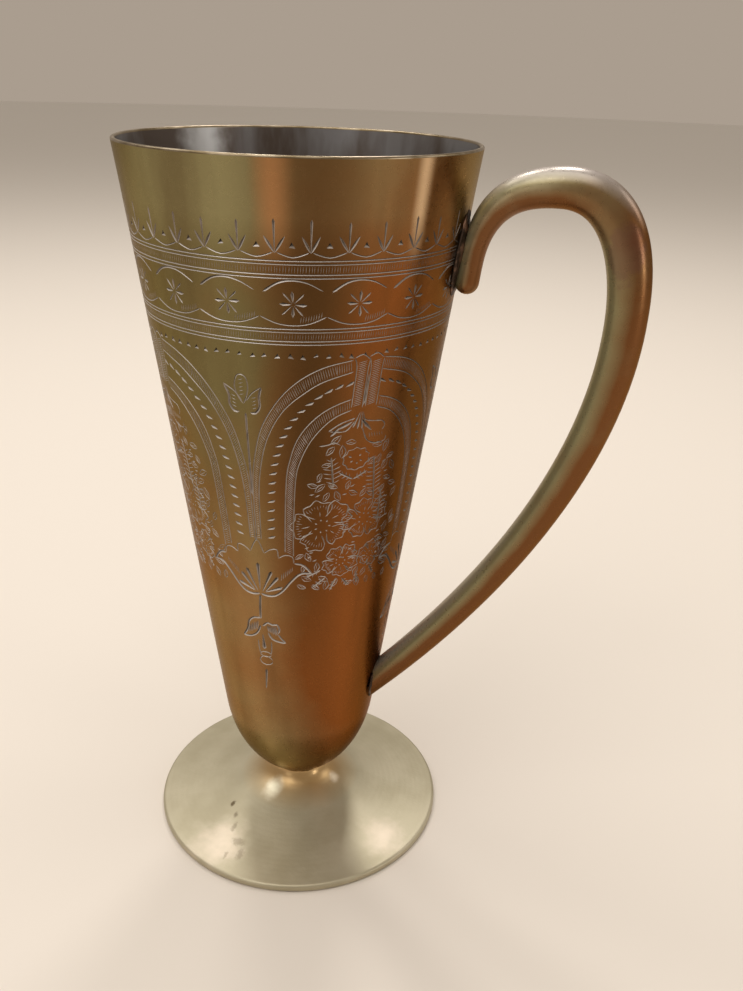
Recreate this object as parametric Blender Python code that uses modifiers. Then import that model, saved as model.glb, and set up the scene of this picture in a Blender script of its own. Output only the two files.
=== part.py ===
"""Footed brass mug: a spun tapering cup on a spun trumpet foot, with a cast hooked handle soldered on.

Sizes are in metres and +Z is up. The mug stands on z = 0, and the origin is the middle of the ground
that it covers, so the cup's own axis lies a little to the -X side and the handle points along +X.
"""
import math

import bmesh
import bpy
from mathutils import Matrix, Vector
from mathutils.geometry import interpolate_bezier

MM = 0.001

# Cup: a straight tapering wall that runs into a rounded bottom
CUP_HEIGHT = 169.8 * MM
RIM_RADIUS = 40.3 * MM
BOWL_RADIUS = 20.3 * MM
BOWL_DEPTH = 23.9 * MM
CUP_WALL = 1.0 * MM

# Foot: a thin disc with a turned-down lip that sweeps up to a narrow neck
FOOT_HEIGHT = 11.2 * MM
FOOT_RADIUS = 39.5 * MM
FOOT_SHEET = 1.1 * MM
NECK_RADIUS = 6.5 * MM
NECK_PULL = 5.0 * MM
FLARE_RADIUS = 16.0 * MM
FLARE_HEIGHT = 5.3 * MM
LIP_HEIGHT = 3.0 * MM
LIP_WIDTH = 2.6 * MM
LIP_ROUND = 0.9 * MM

# Handle path, as distances out from the rim line and down from the rim
HOOK_TIP_DROP = 27.8 * MM
HOOK_PULL = 9.0 * MM
ARCH_OUT = 18.3 * MM
ARCH_DROP = 6.7 * MM
ARCH_PULL_IN = 17.2 * MM
ARCH_PULL_OUT = 11.0 * MM
BACK_OUT = 33.9 * MM
BACK_DROP = 31.7 * MM
BACK_PULL_UP = 14.2 * MM
BACK_PULL_DOWN = 35.6 * MM
TAIL_DROP = 136.4 * MM
TAIL_PULL = 40.8 * MM
TAIL_SLOPE = math.radians(47.8)
TAIL_OVERRUN = 7.0 * MM

# Handle section: thickness in the plane of the loop, and breadth across it
TIP_THICKNESS = 5.4 * MM
HOOK_THICKNESS = 7.0 * MM
ARCH_THICKNESS = 8.6 * MM
SHOULDER_THICKNESS = 9.7 * MM
BACK_THICKNESS = 9.0 * MM
TAIL_THICKNESS = 7.5 * MM
END_THICKNESS = 6.9 * MM
HOOK_BREADTH = 5.6 * MM
BACK_BREADTH = 9.0 * MM
END_BREADTH = 8.6 * MM
INNER_FLATNESS = 0.5
SHOULDER_FLATNESS = 0.15

# Solder: how far each fillet spreads past what it joins
HOOK_SOLDER_SPREAD = 1.9 * MM
HOOK_SOLDER_LENGTH = 20.0 * MM
TAIL_SOLDER_SPREAD = 2.2 * MM
SOLDER_THICKNESS = 1.4 * MM
FOOT_SOLDER_SPREAD = 1.8 * MM
FOOT_SOLDER_DEPTH = 1.2 * MM
FOOT_SOLDER_HOLLOW = 0.3

# Clear space left between pieces that touch
JOINT_GAP = 0.3 * MM

# Finishes: linear colours, and how matt each metal is
CUP_COLOUR = (0.34, 0.27, 0.12)
CUP_ROUGHNESS = 0.32
FOOT_COLOUR = (0.42, 0.35, 0.2)
FOOT_ROUGHNESS = 0.38
HANDLE_COLOUR = (0.46, 0.34, 0.13)
HANDLE_ROUGHNESS = 0.22
SOLDER_COLOUR = (0.16, 0.13, 0.11)
SOLDER_ROUGHNESS = 0.55

# Fineness of round shapes
TURN_STEPS = 64
BOWL_POINTS = 9
FLARE_POINTS = 12
RIM_POINTS = 5
LIP_POINTS = 4
PATH_POINTS = 22
SECTION_POINTS = 20
DOME_RINGS = 5
PAD_SEGMENTS = 28
PAD_RINGS = 20
MERGE_DISTANCE = 0.01 * MM

RIM_HEIGHT = FOOT_HEIGHT + CUP_HEIGHT
BOWL_TOP = FOOT_HEIGHT + BOWL_DEPTH
WALL_TAPER = (RIM_RADIUS - BOWL_RADIUS) / (RIM_HEIGHT - BOWL_TOP)
AXIS_X = -(BACK_OUT + BACK_THICKNESS / 2) / 2


def clear_scene():
    for old in list(bpy.data.objects):
        bpy.data.objects.remove(old, do_unlink=True)


def new_collection(name):
    collection = bpy.data.collections.new(name)
    bpy.context.scene.collection.children.link(collection)
    return collection


def metal(name, colour, roughness):
    """A plain metal finish with its own colour."""
    material = bpy.data.materials.new(name)
    material.use_nodes = True
    shader = material.node_tree.nodes["Principled BSDF"]
    shader.inputs["Base Color"].default_value = (*colour, 1.0)
    shader.inputs["Metallic"].default_value = 1.0
    shader.inputs["Roughness"].default_value = roughness
    return material


def add_part(name, mesh, material):
    """Put a mesh in the mug's collection, carried by the cup's axis."""
    part = bpy.data.objects.new(name, mesh)
    part.data.materials.append(material)
    part.parent = cup_axis
    mug_parts.objects.link(part)
    return part


def add_cutter(name, mesh):
    """A shape that only takes material away from a part."""
    cutter = bpy.data.objects.new(name, mesh)
    cutter.parent = cup_axis
    cutter.hide_render = True
    cutter.display_type = "WIRE"
    mug_cutters.objects.link(cutter)
    return cutter


def profile_mesh(name, points, closed=False):
    """A wire of (radius, height) points in the XZ plane, ready to be turned."""
    edges = [(i, i + 1) for i in range(len(points) - 1)]
    if closed:
        edges.append((len(points) - 1, 0))
    mesh = bpy.data.meshes.new(name)
    mesh.from_pydata([(radius, 0.0, height) for radius, height in points], edges, [])
    return mesh


def turn(thing):
    """Spin a profile once round the cup's axis."""
    screw = thing.modifiers.new("turned", "SCREW")
    screw.axis = "Z"
    screw.steps = TURN_STEPS
    screw.render_steps = TURN_STEPS
    screw.use_merge_vertices = True
    screw.merge_threshold = MERGE_DISTANCE
    screw.use_smooth_shade = True
    return thing


def cut(part, cutter):
    """Take the cutter's shape out of a part."""
    boolean = part.modifiers.new("cut by " + cutter.name, "BOOLEAN")
    boolean.operation = "DIFFERENCE"
    boolean.solver = "EXACT"
    boolean.object = cutter


def wall_radius(height):
    """Outer radius of the straight wall at a height."""
    return RIM_RADIUS - WALL_TAPER * (RIM_HEIGHT - height)


def bowl_ellipse():
    """Middle height and half-axes of the ellipse that meets the wall without a corner."""
    rise = BOWL_DEPTH ** 2 / (BOWL_RADIUS / WALL_TAPER - 2 * BOWL_DEPTH)
    tall = BOWL_DEPTH + rise
    wide = math.sqrt(WALL_TAPER * BOWL_RADIUS / rise) * tall
    return BOWL_TOP + rise, wide, tall


def bowl_points(inward):
    """Rounded bottom from the straight wall down to the axis, moved inward by a wall's thickness."""
    middle, wide, tall = bowl_ellipse()
    start = math.acos((middle - BOWL_TOP) / tall)
    points = []
    for i in range(BOWL_POINTS + 1):
        turn_angle = start * (1 - i / BOWL_POINTS)
        radius = wide * math.sin(turn_angle)
        height = middle - tall * math.cos(turn_angle)
        normal = Vector((math.sin(turn_angle) / wide, -math.cos(turn_angle) / tall)).normalized()
        points.append((max(radius - inward * normal.x, 0.0), height - inward * normal.y))
    points[-1] = (0.0, points[-1][1])
    return points


def bowl_height(radius):
    """Height of the cup's underside at a radius within the rounded bottom."""
    middle, wide, tall = bowl_ellipse()
    return middle - tall * math.sqrt(1 - (radius / wide) ** 2)


def cup_profile():
    """Inside from the axis up, over the rounded rim, and down the outside back to the axis."""
    inside = list(reversed(bowl_points(CUP_WALL)))
    outside = bowl_points(0.0)
    half_wall = CUP_WALL / 2
    rim = []
    for i in range(RIM_POINTS):
        angle = math.pi * (1 - i / (RIM_POINTS - 1))
        middle = RIM_RADIUS - half_wall
        rim.append((middle + half_wall * math.cos(angle), RIM_HEIGHT - half_wall * (1 - math.sin(angle))))
    return inside + rim + outside


def grown_cup_profile(gap):
    """The cup's outside as a solid block, swollen by a gap."""
    top_radius = wall_radius(RIM_HEIGHT + gap) + gap
    return [(0.0, RIM_HEIGHT + gap), (top_radius, RIM_HEIGHT + gap)] + bowl_points(-gap)


def bezier(bends, share):
    """Point at a share of the curve that its pull points draw, and the direction of the curve there."""
    while len(bends) > 2:
        bends = [a.lerp(b, share) for a, b in zip(bends, bends[1:])]
    return bends[0].lerp(bends[1], share), (bends[1] - bends[0]).normalized()


def flare_point(share, inward):
    """Trumpet curve of the foot, from the upright neck (0) out to the lip (1), moved inward by the sheet."""
    neck_top = bowl_height(NECK_RADIUS) - JOINT_GAP
    bends = [
        Vector((NECK_RADIUS, neck_top)),
        Vector((NECK_RADIUS, neck_top - NECK_PULL)),
        Vector((FLARE_RADIUS, FLARE_HEIGHT)),
        Vector((FOOT_RADIUS - LIP_ROUND, LIP_HEIGHT)),
    ]
    point, along = bezier(bends, share)
    return point.x + inward * along.y, point.y - inward * along.x


def lip_points():
    """Round top edge, upright side, and round lower edge to the flat ring that the mug stands on."""
    points = []
    for start, middle in ((math.pi / 2, LIP_HEIGHT - LIP_ROUND), (0.0, LIP_ROUND)):
        for i in range(LIP_POINTS):
            angle = start - math.pi / 2 * i / (LIP_POINTS - 1)
            radius = FOOT_RADIUS - LIP_ROUND * (1 - math.cos(angle))
            points.append((radius, middle + LIP_ROUND * math.sin(angle)))
    inner_radius = FOOT_RADIUS - LIP_ROUND - LIP_WIDTH
    points.append((inner_radius, 0.0))
    points.append((inner_radius, LIP_HEIGHT - FOOT_SHEET))
    return points


def foot_profile():
    """Seat under the cup, neck, flare and lip on top, then the hollow underside back to the axis."""
    seat = [(0.0, bowl_height(0.0) - JOINT_GAP)]
    seat.append((NECK_RADIUS / 2, bowl_height(NECK_RADIUS / 2) - JOINT_GAP))
    top = [flare_point(i / FLARE_POINTS, 0.0) for i in range(FLARE_POINTS + 1)]
    lip = lip_points()
    crown_height = bowl_height(0.0) - JOINT_GAP - FOOT_SHEET
    under = [flare_point(1 - i / FLARE_POINTS, FOOT_SHEET) for i in range(FLARE_POINTS + 1)]
    under = [p for p in under if p[0] < lip[-1][0] - FOOT_SHEET and p[1] < crown_height]
    crown = [(under[-1][0], crown_height), (0.0, crown_height)]
    return seat + top[:-1] + lip + under + crown


def foot_solder_profile():
    """Hollow-faced fillet in the corner between the neck and the cup's underside."""
    neck_top = bowl_height(NECK_RADIUS) - JOINT_GAP
    inner_radius = NECK_RADIUS + JOINT_GAP
    outer_radius = inner_radius + FOOT_SOLDER_SPREAD
    corner = (inner_radius, bowl_height(inner_radius) - JOINT_GAP)
    on_cup = (outer_radius, bowl_height(outer_radius) - JOINT_GAP)
    middle_radius = inner_radius + FOOT_SOLDER_SPREAD / 2
    under_cup = (middle_radius, bowl_height(middle_radius) - JOINT_GAP)
    on_neck = flare_point(FOOT_SOLDER_DEPTH / (3 * NECK_PULL), -JOINT_GAP)
    hollow_radius = inner_radius + FOOT_SOLDER_SPREAD * FOOT_SOLDER_HOLLOW
    hollow = (hollow_radius, neck_top - FOOT_SOLDER_DEPTH * FOOT_SOLDER_HOLLOW)
    return [corner, under_cup, on_cup, hollow, on_neck]


def handle_path():
    """Centre line of the handle: up the wall, over the arch, down the back and in to the wall."""
    tip_height = RIM_HEIGHT - HOOK_TIP_DROP
    tip = Vector((wall_radius(tip_height) + TIP_THICKNESS / 2, 0.0, tip_height))
    up_wall = Vector((WALL_TAPER, 0.0, 1.0)).normalized()
    arch = Vector((RIM_RADIUS + ARCH_OUT, 0.0, RIM_HEIGHT - ARCH_DROP))
    outward = Vector((1.0, 0.0, 0.0))
    back = Vector((RIM_RADIUS + BACK_OUT, 0.0, RIM_HEIGHT - BACK_DROP))
    down = Vector((0.0, 0.0, -1.0))
    tail_height = RIM_HEIGHT - TAIL_DROP
    tail = Vector((wall_radius(tail_height), 0.0, tail_height))
    inward = Vector((-math.cos(TAIL_SLOPE), 0.0, -math.sin(TAIL_SLOPE)))
    spans = (
        (tip, tip + HOOK_PULL * up_wall, arch - ARCH_PULL_IN * outward, arch),
        (arch, arch + ARCH_PULL_OUT * outward, back - BACK_PULL_UP * down, back),
        (back, back + BACK_PULL_DOWN * down, tail - TAIL_PULL * inward, tail),
    )
    path = []
    for number, span in enumerate(spans):
        points = interpolate_bezier(*span, PATH_POINTS)
        places = [number + i / (PATH_POINTS - 1) for i in range(PATH_POINTS)]
        skip = 1 if path else 0
        path += list(zip(places, points))[skip:]
    path.append((3.0, tail + TAIL_OVERRUN * inward))
    return path


def section_at(place):
    """Thickness, breadth and flatness of the inner face at a place along the path, counted in spans."""
    stations = (
        (0.0, TIP_THICKNESS, HOOK_BREADTH, 0.0),
        (0.3, TIP_THICKNESS, HOOK_BREADTH, 0.0),
        (0.65, HOOK_THICKNESS, HOOK_THICKNESS, 0.0),
        (1.0, ARCH_THICKNESS, ARCH_THICKNESS, 0.0),
        (1.45, SHOULDER_THICKNESS, BACK_BREADTH, SHOULDER_FLATNESS),
        (2.0, BACK_THICKNESS, BACK_BREADTH, INNER_FLATNESS),
        (2.6, TAIL_THICKNESS, BACK_BREADTH, INNER_FLATNESS),
        (3.0, END_THICKNESS, END_BREADTH, INNER_FLATNESS),
    )
    at = 0
    while at < len(stations) - 2 and place > stations[at + 1][0]:
        at += 1
    before = Vector(stations[max(at - 1, 0)])
    start = Vector(stations[at])
    end = Vector(stations[at + 1])
    after = Vector(stations[min(at + 2, len(stations) - 1)])
    gap = end[0] - start[0]
    leave = (end - before) * gap / (end[0] - before[0]) / 3
    arrive = (after - start) * gap / (after[0] - start[0]) / 3
    section, _ = bezier([start, start + leave, end - arrive, end], (place - start[0]) / gap)
    return section[1], section[2], max(section[3], 0.0)


def section_ring(centre, outward, thickness, breadth, flatness):
    """Oval ring of points whose inner half is squared off by the flatness."""
    ring = []
    for i in range(SECTION_POINTS):
        angle = 2 * math.pi * i / SECTION_POINTS
        along, across = math.cos(angle), math.sin(angle)
        power = 1.0 - flatness if along < 0 else 1.0
        out = math.copysign(abs(along) ** power, along) * thickness / 2
        side = math.copysign(abs(across) ** power, across) * breadth / 2
        ring.append(centre + out * outward + Vector((0.0, side, 0.0)))
    return ring


def handle_mesh(name, grow):
    """Loft of the handle's sections along its path, with a domed tip, swollen by a gap."""
    path = handle_path()
    rings = []
    for i, (place, centre) in enumerate(path):
        before = path[max(i - 1, 0)][1]
        after = path[min(i + 1, len(path) - 1)][1]
        direction = (after - before).normalized()
        outward = Vector((-direction.z, 0.0, direction.x))
        thickness, breadth, flatness = section_at(place)
        section = (outward, thickness + 2 * grow, breadth + 2 * grow, flatness)
        if i == 0:
            tip_reach = TIP_THICKNESS / 2 + grow
            pole = centre - tip_reach * direction
            for step in range(1, DOME_RINGS):
                angle = math.pi / 2 * step / DOME_RINGS
                size = math.sin(angle)
                middle = centre - tip_reach * math.cos(angle) * direction
                rings.append(section_ring(middle, outward, section[1] * size, section[2] * size, flatness))
        rings.append(section_ring(centre, *section))
    return loft(name, rings, pole)


def loft(name, rings, pole):
    """Skin a row of rings, closed by a pole at the start and a flat cap at the end."""
    shape = bmesh.new()
    first = shape.verts.new(pole)
    rows = [[shape.verts.new(point) for point in ring] for ring in rings]
    count = len(rows[0])
    for i in range(count):
        shape.faces.new((first, rows[0][i], rows[0][(i + 1) % count]))
    for low, high in zip(rows, rows[1:]):
        for i in range(count):
            j = (i + 1) % count
            shape.faces.new((low[i], high[i], high[j], low[j]))
    shape.faces.new(rows[-1])
    bmesh.ops.recalc_face_normals(shape, faces=shape.faces)
    mesh = bpy.data.meshes.new(name)
    shape.to_mesh(mesh)
    shape.free()
    mesh.shade_smooth()
    return mesh


def solder_pad(name, height, half_breadth, half_length):
    """Flat lens of solder lying on the cup's wall under the handle."""
    lean = Matrix.Rotation(math.atan(WALL_TAPER), 4, "Y")
    place = Matrix.Translation((wall_radius(height), 0.0, height))
    size = Matrix.Diagonal((SOLDER_THICKNESS, half_breadth, half_length, 1.0))
    shape = bmesh.new()
    where = place @ lean @ size
    bmesh.ops.create_uvsphere(shape, u_segments=PAD_SEGMENTS, v_segments=PAD_RINGS, radius=1.0, matrix=where)
    mesh = bpy.data.meshes.new(name)
    shape.to_mesh(mesh)
    shape.free()
    mesh.shade_smooth()
    return mesh


clear_scene()
mug_parts = new_collection("footed_brass_mug")
mug_cutters = new_collection("footed_brass_mug_cutters")
cup_axis = bpy.data.objects.new("cup_axis", None)
cup_axis.location = (AXIS_X, 0.0, 0.0)
mug_parts.objects.link(cup_axis)

turn(add_part("cup", profile_mesh("cup", cup_profile()), metal("cup brass", CUP_COLOUR, CUP_ROUGHNESS)))
turn(add_part("foot", profile_mesh("foot", foot_profile()), metal("foot brass", FOOT_COLOUR, FOOT_ROUGHNESS)))
ring_mesh = profile_mesh("foot_solder", foot_solder_profile(), closed=True)
turn(add_part("foot_solder", ring_mesh, metal("foot solder", SOLDER_COLOUR, SOLDER_ROUGHNESS)))

cup_cutter = turn(add_cutter("cup_cutter", profile_mesh("cup_cutter", grown_cup_profile(JOINT_GAP))))
handle_cutter = add_cutter("handle_cutter", handle_mesh("handle_cutter", JOINT_GAP))

cast_brass = metal("handle brass", HANDLE_COLOUR, HANDLE_ROUGHNESS)
handle = add_part("handle", handle_mesh("handle", 0.0), cast_brass)
cut(handle, cup_cutter)

hook_middle = RIM_HEIGHT - HOOK_TIP_DROP - TIP_THICKNESS / 2 - HOOK_SOLDER_SPREAD / 2 + HOOK_SOLDER_LENGTH / 2
hook_half_breadth = HOOK_BREADTH / 2 + HOOK_SOLDER_SPREAD
tail_middle = RIM_HEIGHT - TAIL_DROP
tail_half_breadth = END_BREADTH / 2 + TAIL_SOLDER_SPREAD
tail_half_length = END_THICKNESS / 2 / math.cos(TAIL_SLOPE) + TAIL_SOLDER_SPREAD
solder_sizes = (
    ("hook_solder", hook_middle, hook_half_breadth, HOOK_SOLDER_LENGTH / 2),
    ("tail_solder", tail_middle, tail_half_breadth, tail_half_length),
)
for name, height, half_breadth, half_length in solder_sizes:
    finish = metal(name.replace("_", " "), SOLDER_COLOUR, SOLDER_ROUGHNESS)
    solder = add_part(name, solder_pad(name, height, half_breadth, half_length), finish)
    cut(solder, cup_cutter)
    cut(solder, handle_cutter)
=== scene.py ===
"""Looks of the footed brass mug: an engraved cup tinned inside, a spun foot, a cast handle and its solder.

Lengths are in metres and +Z is up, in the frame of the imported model. The engraving is drawn on the
unrolled wall, in degrees round the cup, counted from the handle, and millimetres up from the ground.
"""
import math
import random

import bmesh
import bpy
from mathutils import Matrix, Vector, noise
from mathutils.geometry import delaunay_2d_cdt, interpolate_bezier
from mathutils.kdtree import KDTree


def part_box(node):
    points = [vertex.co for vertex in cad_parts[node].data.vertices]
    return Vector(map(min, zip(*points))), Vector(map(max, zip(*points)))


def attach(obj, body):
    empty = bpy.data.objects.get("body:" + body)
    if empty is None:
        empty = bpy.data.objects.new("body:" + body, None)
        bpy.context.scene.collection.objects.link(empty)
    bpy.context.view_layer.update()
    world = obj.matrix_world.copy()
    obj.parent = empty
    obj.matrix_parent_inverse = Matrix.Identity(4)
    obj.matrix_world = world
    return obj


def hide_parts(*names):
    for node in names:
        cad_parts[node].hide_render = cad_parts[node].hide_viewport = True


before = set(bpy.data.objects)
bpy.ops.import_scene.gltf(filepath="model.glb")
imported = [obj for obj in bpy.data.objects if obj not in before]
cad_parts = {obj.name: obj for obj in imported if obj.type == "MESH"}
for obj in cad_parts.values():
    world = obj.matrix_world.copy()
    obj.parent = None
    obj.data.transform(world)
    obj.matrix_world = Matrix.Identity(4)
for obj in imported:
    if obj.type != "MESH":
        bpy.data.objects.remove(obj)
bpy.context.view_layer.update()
bpy.ops.object.select_all(action="DESELECT")

MM = 0.001
hand = random.Random(11)

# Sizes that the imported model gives
cup_low, cup_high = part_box("cup")
foot_low, foot_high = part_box("foot")
AXIS_X = (foot_low.x + foot_high.x) / 2
RIM_HEIGHT = cup_high.z
RIM_RADIUS = (cup_high.y - cup_low.y) / 2
CUP_BOTTOM = cup_low.z
FOOT_RADIUS = (foot_high.y - foot_low.y) / 2

# Cup
BOWL_RADIUS = 20.3 * MM
BOWL_DEPTH = 23.9 * MM
CUP_WALL = 1.0 * MM
BOWL_TOP = CUP_BOTTOM + BOWL_DEPTH
WALL_TAPER = (RIM_RADIUS - BOWL_RADIUS) / (RIM_HEIGHT - BOWL_TOP)
WALL_LEAN = math.atan(WALL_TAPER)

# Foot
FOOT_SHEET = 1.1 * MM
NECK_RADIUS = 7.3 * MM
NECK_PULL = 5.0 * MM
FLARE_RADIUS = 16.0 * MM
FLARE_HEIGHT = 5.3 * MM
LIP_HEIGHT = 2.1 * MM
LIP_WIDTH = 2.6 * MM
LIP_ROUND = 0.8 * MM
NECK_SEAT = 0.2 * MM

# Handle path, as distances out from the rim line and down from the rim
HOOK_TIP_DROP = 27.8 * MM
HOOK_PULL = 9.0 * MM
ARCH_OUT = 18.3 * MM
ARCH_DROP = 6.7 * MM
ARCH_PULL_IN = 17.2 * MM
ARCH_PULL_OUT = 11.0 * MM
BACK_OUT = 33.9 * MM
BACK_DROP = 31.7 * MM
BACK_PULL_UP = 14.2 * MM
BACK_PULL_DOWN = 35.6 * MM
TAIL_DROP = 136.4 * MM
TAIL_PULL = 40.8 * MM
TAIL_SLOPE = math.radians(47.8)
TAIL_OVERRUN = 7.0 * MM
TAIL_SUNK = 0.5 * MM

# Stains, painted shade and painted light of the finishes: the middle of each, and how far it reaches each way
# Painted shade on the wall round the hook and round the tail end of the handle
HOOK_PAINTED_SHADE = (AXIS_X + 37.5 * MM, -2.5 * MM, 160.0 * MM)
HOOK_PAINTED_SHADE_REACH = (5.0 * MM, 4.6 * MM, 9.0 * MM)
TAIL_PAINTED_SHADE = (AXIS_X + 21.8 * MM, 0.0, 44.0 * MM)
TAIL_PAINTED_SHADE_REACH = (2.4 * MM, 4.0 * MM, 5.2 * MM)
SHOULDER_STAIN = (AXIS_X + 72.5 * MM, -4.0 * MM, 163.0 * MM)
SHOULDER_STAIN_REACH = (4.0 * MM, 4.0 * MM, 7.0 * MM)
# Painted light on the handle's hook: paler colour and lower metallic there
HOOK_PAINTED_LIGHT = (AXIS_X + 46.0 * MM, 0.0, 164.0 * MM)
HOOK_PAINTED_LIGHT_REACH = (14.0 * MM, 10.0 * MM, 22.0 * MM)
# Painted highlight on the tin lining
TIN_PAINTED_HIGHLIGHT = (AXIS_X - 33.0 * MM, 21.0 * MM, 174.0 * MM)
TIN_PAINTED_HIGHLIGHT_REACH = (6.0 * MM, 8.0 * MM, 45.0 * MM)
FOOT_MARK_RISE = 9.0 * MM
FOOT_PIT_HEIGHT = 4.0 * MM

# Painted dark reflection band down the wall, and the plain collar under the rim
PAINTED_BAND_BEARING = math.radians(-66)
PAINTED_BAND_HALF_WIDTH = math.radians(28)
COLLAR_LOW = 160.0 * MM
COLLAR_HIGH = 170.0 * MM

# Painted sheens on the collar, standing in for reflections: bearing from the handle, half width, strength and
# colour
COLLAR_PAINTED_SHEENS = (
    (math.radians(-77), math.radians(7), 0.65, "#b88355"),
    (math.radians(-32), math.radians(4), 0.85, "#e6c59c"),
    (math.radians(3), math.radians(26), 0.85, "#b5a070"),
)

# Pits in the foot: x and y from the cup's axis and reach in x and y, all in millimetres, then how dark
FOOT_PITS = (
    (-13.6, -17.4, 0.7, 1.3, 0.95),
    (-11.2, -20.8, 0.8, 1.1, 0.6),
    (-10.0, -24.6, 0.8, 1.9, 0.4),
    (-7.0, -29.0, 2.2, 1.6, 0.35),
    (-5.0, -32.4, 1.2, 2.2, 0.35),
    (-8.6, -33.6, 0.6, 1.6, 0.4),
)

# Painted highlights on the foot: x and y from the cup's axis, height and reach in millimetres, and colour
FOOT_PAINTED_HIGHLIGHTS = (
    (-11.6, -30.6, 3.0, 9.0, "#d3c4ae"),
    (29.6, -13.6, 3.0, 8.5, "#d3c4ae"),
    (-3.9, -11.4, 6.0, 3.6, "#fbf3d6"),
    (11.1, -1.6, 6.3, 2.2, "#fff0d4"),
)

# Handle section: thickness in the plane of the loop, and breadth across it
TIP_THICKNESS = 5.4 * MM
HOOK_THICKNESS = 7.0 * MM
ARCH_THICKNESS = 8.6 * MM
SHOULDER_THICKNESS = 9.7 * MM
BACK_THICKNESS = 9.0 * MM
TAIL_THICKNESS = 7.5 * MM
END_THICKNESS = 6.9 * MM
HOOK_BREADTH = 5.6 * MM
BACK_BREADTH = 9.0 * MM
END_BREADTH = 8.6 * MM
INNER_FLATNESS = 0.12
SHOULDER_FLATNESS = 0.05

# Solder: how far each fillet spreads past what it joins
HOOK_SOLDER_SPREAD = 1.6 * MM
HOOK_SOLDER_LENGTH = 19.0 * MM
TAIL_SOLDER_SPREAD = 0.5 * MM
SOLDER_THICKNESS = 0.9 * MM
SOLDER_SUNK = 0.4 * MM
SOLDER_LUMP = 0.25 * MM
SOLDER_LUMP_SIZE = 2.0 * MM
FOOT_SOLDER_SPREAD = 1.6 * MM
FOOT_SOLDER_DEPTH = 1.2 * MM
FOOT_SOLDER_SUNK = 0.1 * MM

# Fineness of round shapes
TURN_STEPS = 144
ARC_POINTS = 14
PATH_POINTS = 44
SECTION_POINTS = 36
DOME_RINGS = 8
LINING_ROWS = 24
PAD_SEGMENTS = 64
PAD_RINGS = 40
MERGE_DISTANCE = 0.005 * MM
CREASE_ANGLE = math.radians(35)

# Engraving tool, in millimetres: widths of its lines, and how deep a cut is for its half width
LINE = 0.27
FINE = 0.2
HATCH = 0.17
BOLD = 0.7
PUNCH_DEPTH = 0.42
GRAVER_SLOPE = 0.8
CURVE_STEP = 0.9
ENGRAVED_LOW = 47.0
ENGRAVED_HIGH = 172.0
ENGRAVED_ROW = 4.0
SHALLOWEST = 0.01
SHEET_DEGREE = 0.52

# Engraved rings: heights in millimetres, counts round the cup, and bearings in degrees
RULED_HEIGHTS = (161.6, 160.9, 158.9, 158.2, 147.8, 147.1, 145.2, 144.5)
HATCHED_RINGS = ((158.9, 160.9), (145.2, 147.1))
HATCH_COUNT = 420
SPRIG_COUNT = 33
SPRIG_FIRST = -87.5
SPRIG_BASE = 163.1
SPRIG_DOT_HEIGHT = 164.7
CELL_COUNT = 17
CELL_FIRST = -93.0
CELL_BROW = 9.3
STAR_HEIGHT = 152.9
DOT_COUNT = 84
DOT_HEIGHT = 142.0
RUNG_GAP = 0.52
DASH_GAP = 2.35
PANELS = 4

# Lamps: name, place, size in metres and power in watts, and the place they all aim at
LAMPS = (
    ("back_left", (-0.37, 0.485, 0.92), (0.17, 0.18), 1.75),
    ("back_right", (-0.05, 0.6, 0.92), (0.16, 0.18), 2.5),
    ("ceiling", (-0.05, -0.25, 1.1), (0.75, 0.8), 3.4),
    ("high_front", (-0.4, -0.72, 0.98), (0.7, 0.5), 2.4),
    ("left", (-0.72, 0.14, 0.98), (0.5, 0.6), 2.2),
    ("front", (-0.42, -0.95, 0.3), (0.35, 0.45), 0.5),
    ("right", (0.8, 0.46, 0.65), (0.45, 0.45), 1.1),
    ("side", (1.05, -0.22, 0.24), (0.2, 0.4), 1.4),
)
LAMP_AIM = (AXIS_X, 0.0, 0.08)
FLOOR_RADIUS = 4.0

# Camera
CAMERA_PLACE = (59.4 * MM, -210.3 * MM, 197.7 * MM)
CAMERA_TURN = math.radians(15.823)
CAMERA_TILT = math.radians(65.517)
CAMERA_ROLL = math.radians(1.931)
CAMERA_LENS = 35.0


def wall_radius(height):
    """Outer radius of the straight wall at a height."""
    return RIM_RADIUS - WALL_TAPER * (RIM_HEIGHT - height)


def bowl_ellipse():
    """Middle height and half-axes of the ellipse that meets the wall without a corner."""
    rise = BOWL_DEPTH ** 2 / (BOWL_RADIUS / WALL_TAPER - 2 * BOWL_DEPTH)
    tall = BOWL_DEPTH + rise
    wide = math.sqrt(WALL_TAPER * BOWL_RADIUS / rise) * tall
    return BOWL_TOP + rise, wide, tall


def bowl_points(inward):
    """Rounded bottom from the straight wall down to the axis, moved inward by a wall's thickness."""
    middle, wide, tall = bowl_ellipse()
    start = math.acos((middle - BOWL_TOP) / tall)
    count = 2 * ARC_POINTS
    points = []
    for i in range(count + 1):
        turn = start * (1 - i / count)
        normal = Vector((math.sin(turn) / wide, -math.cos(turn) / tall)).normalized()
        radius = wide * math.sin(turn) - inward * normal.x
        points.append((max(radius, 0.0), middle - tall * math.cos(turn) - inward * normal.y))
    points[-1] = (0.0, points[-1][1])
    return points


def bowl_height(radius):
    """Height of the cup's underside at a radius within the rounded bottom."""
    middle, wide, tall = bowl_ellipse()
    return middle - tall * math.sqrt(1 - (radius / wide) ** 2)


def edit(piece):
    """Open a piece for modelling with all of it selected."""
    bpy.ops.object.select_all(action="DESELECT")
    bpy.context.view_layer.objects.active = piece
    piece.select_set(True)
    bpy.ops.object.mode_set(mode="EDIT")
    bpy.ops.mesh.select_mode(type="VERT")
    bpy.ops.mesh.select_all(action="SELECT")


def close_up():
    """Merge what touches, point all faces outwards and leave the piece."""
    bpy.ops.mesh.select_all(action="SELECT")
    bpy.ops.mesh.remove_doubles(threshold=MERGE_DISTANCE)
    bpy.ops.mesh.normals_make_consistent(inside=False)
    bpy.ops.object.mode_set(mode="OBJECT")
    return bpy.context.object


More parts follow.
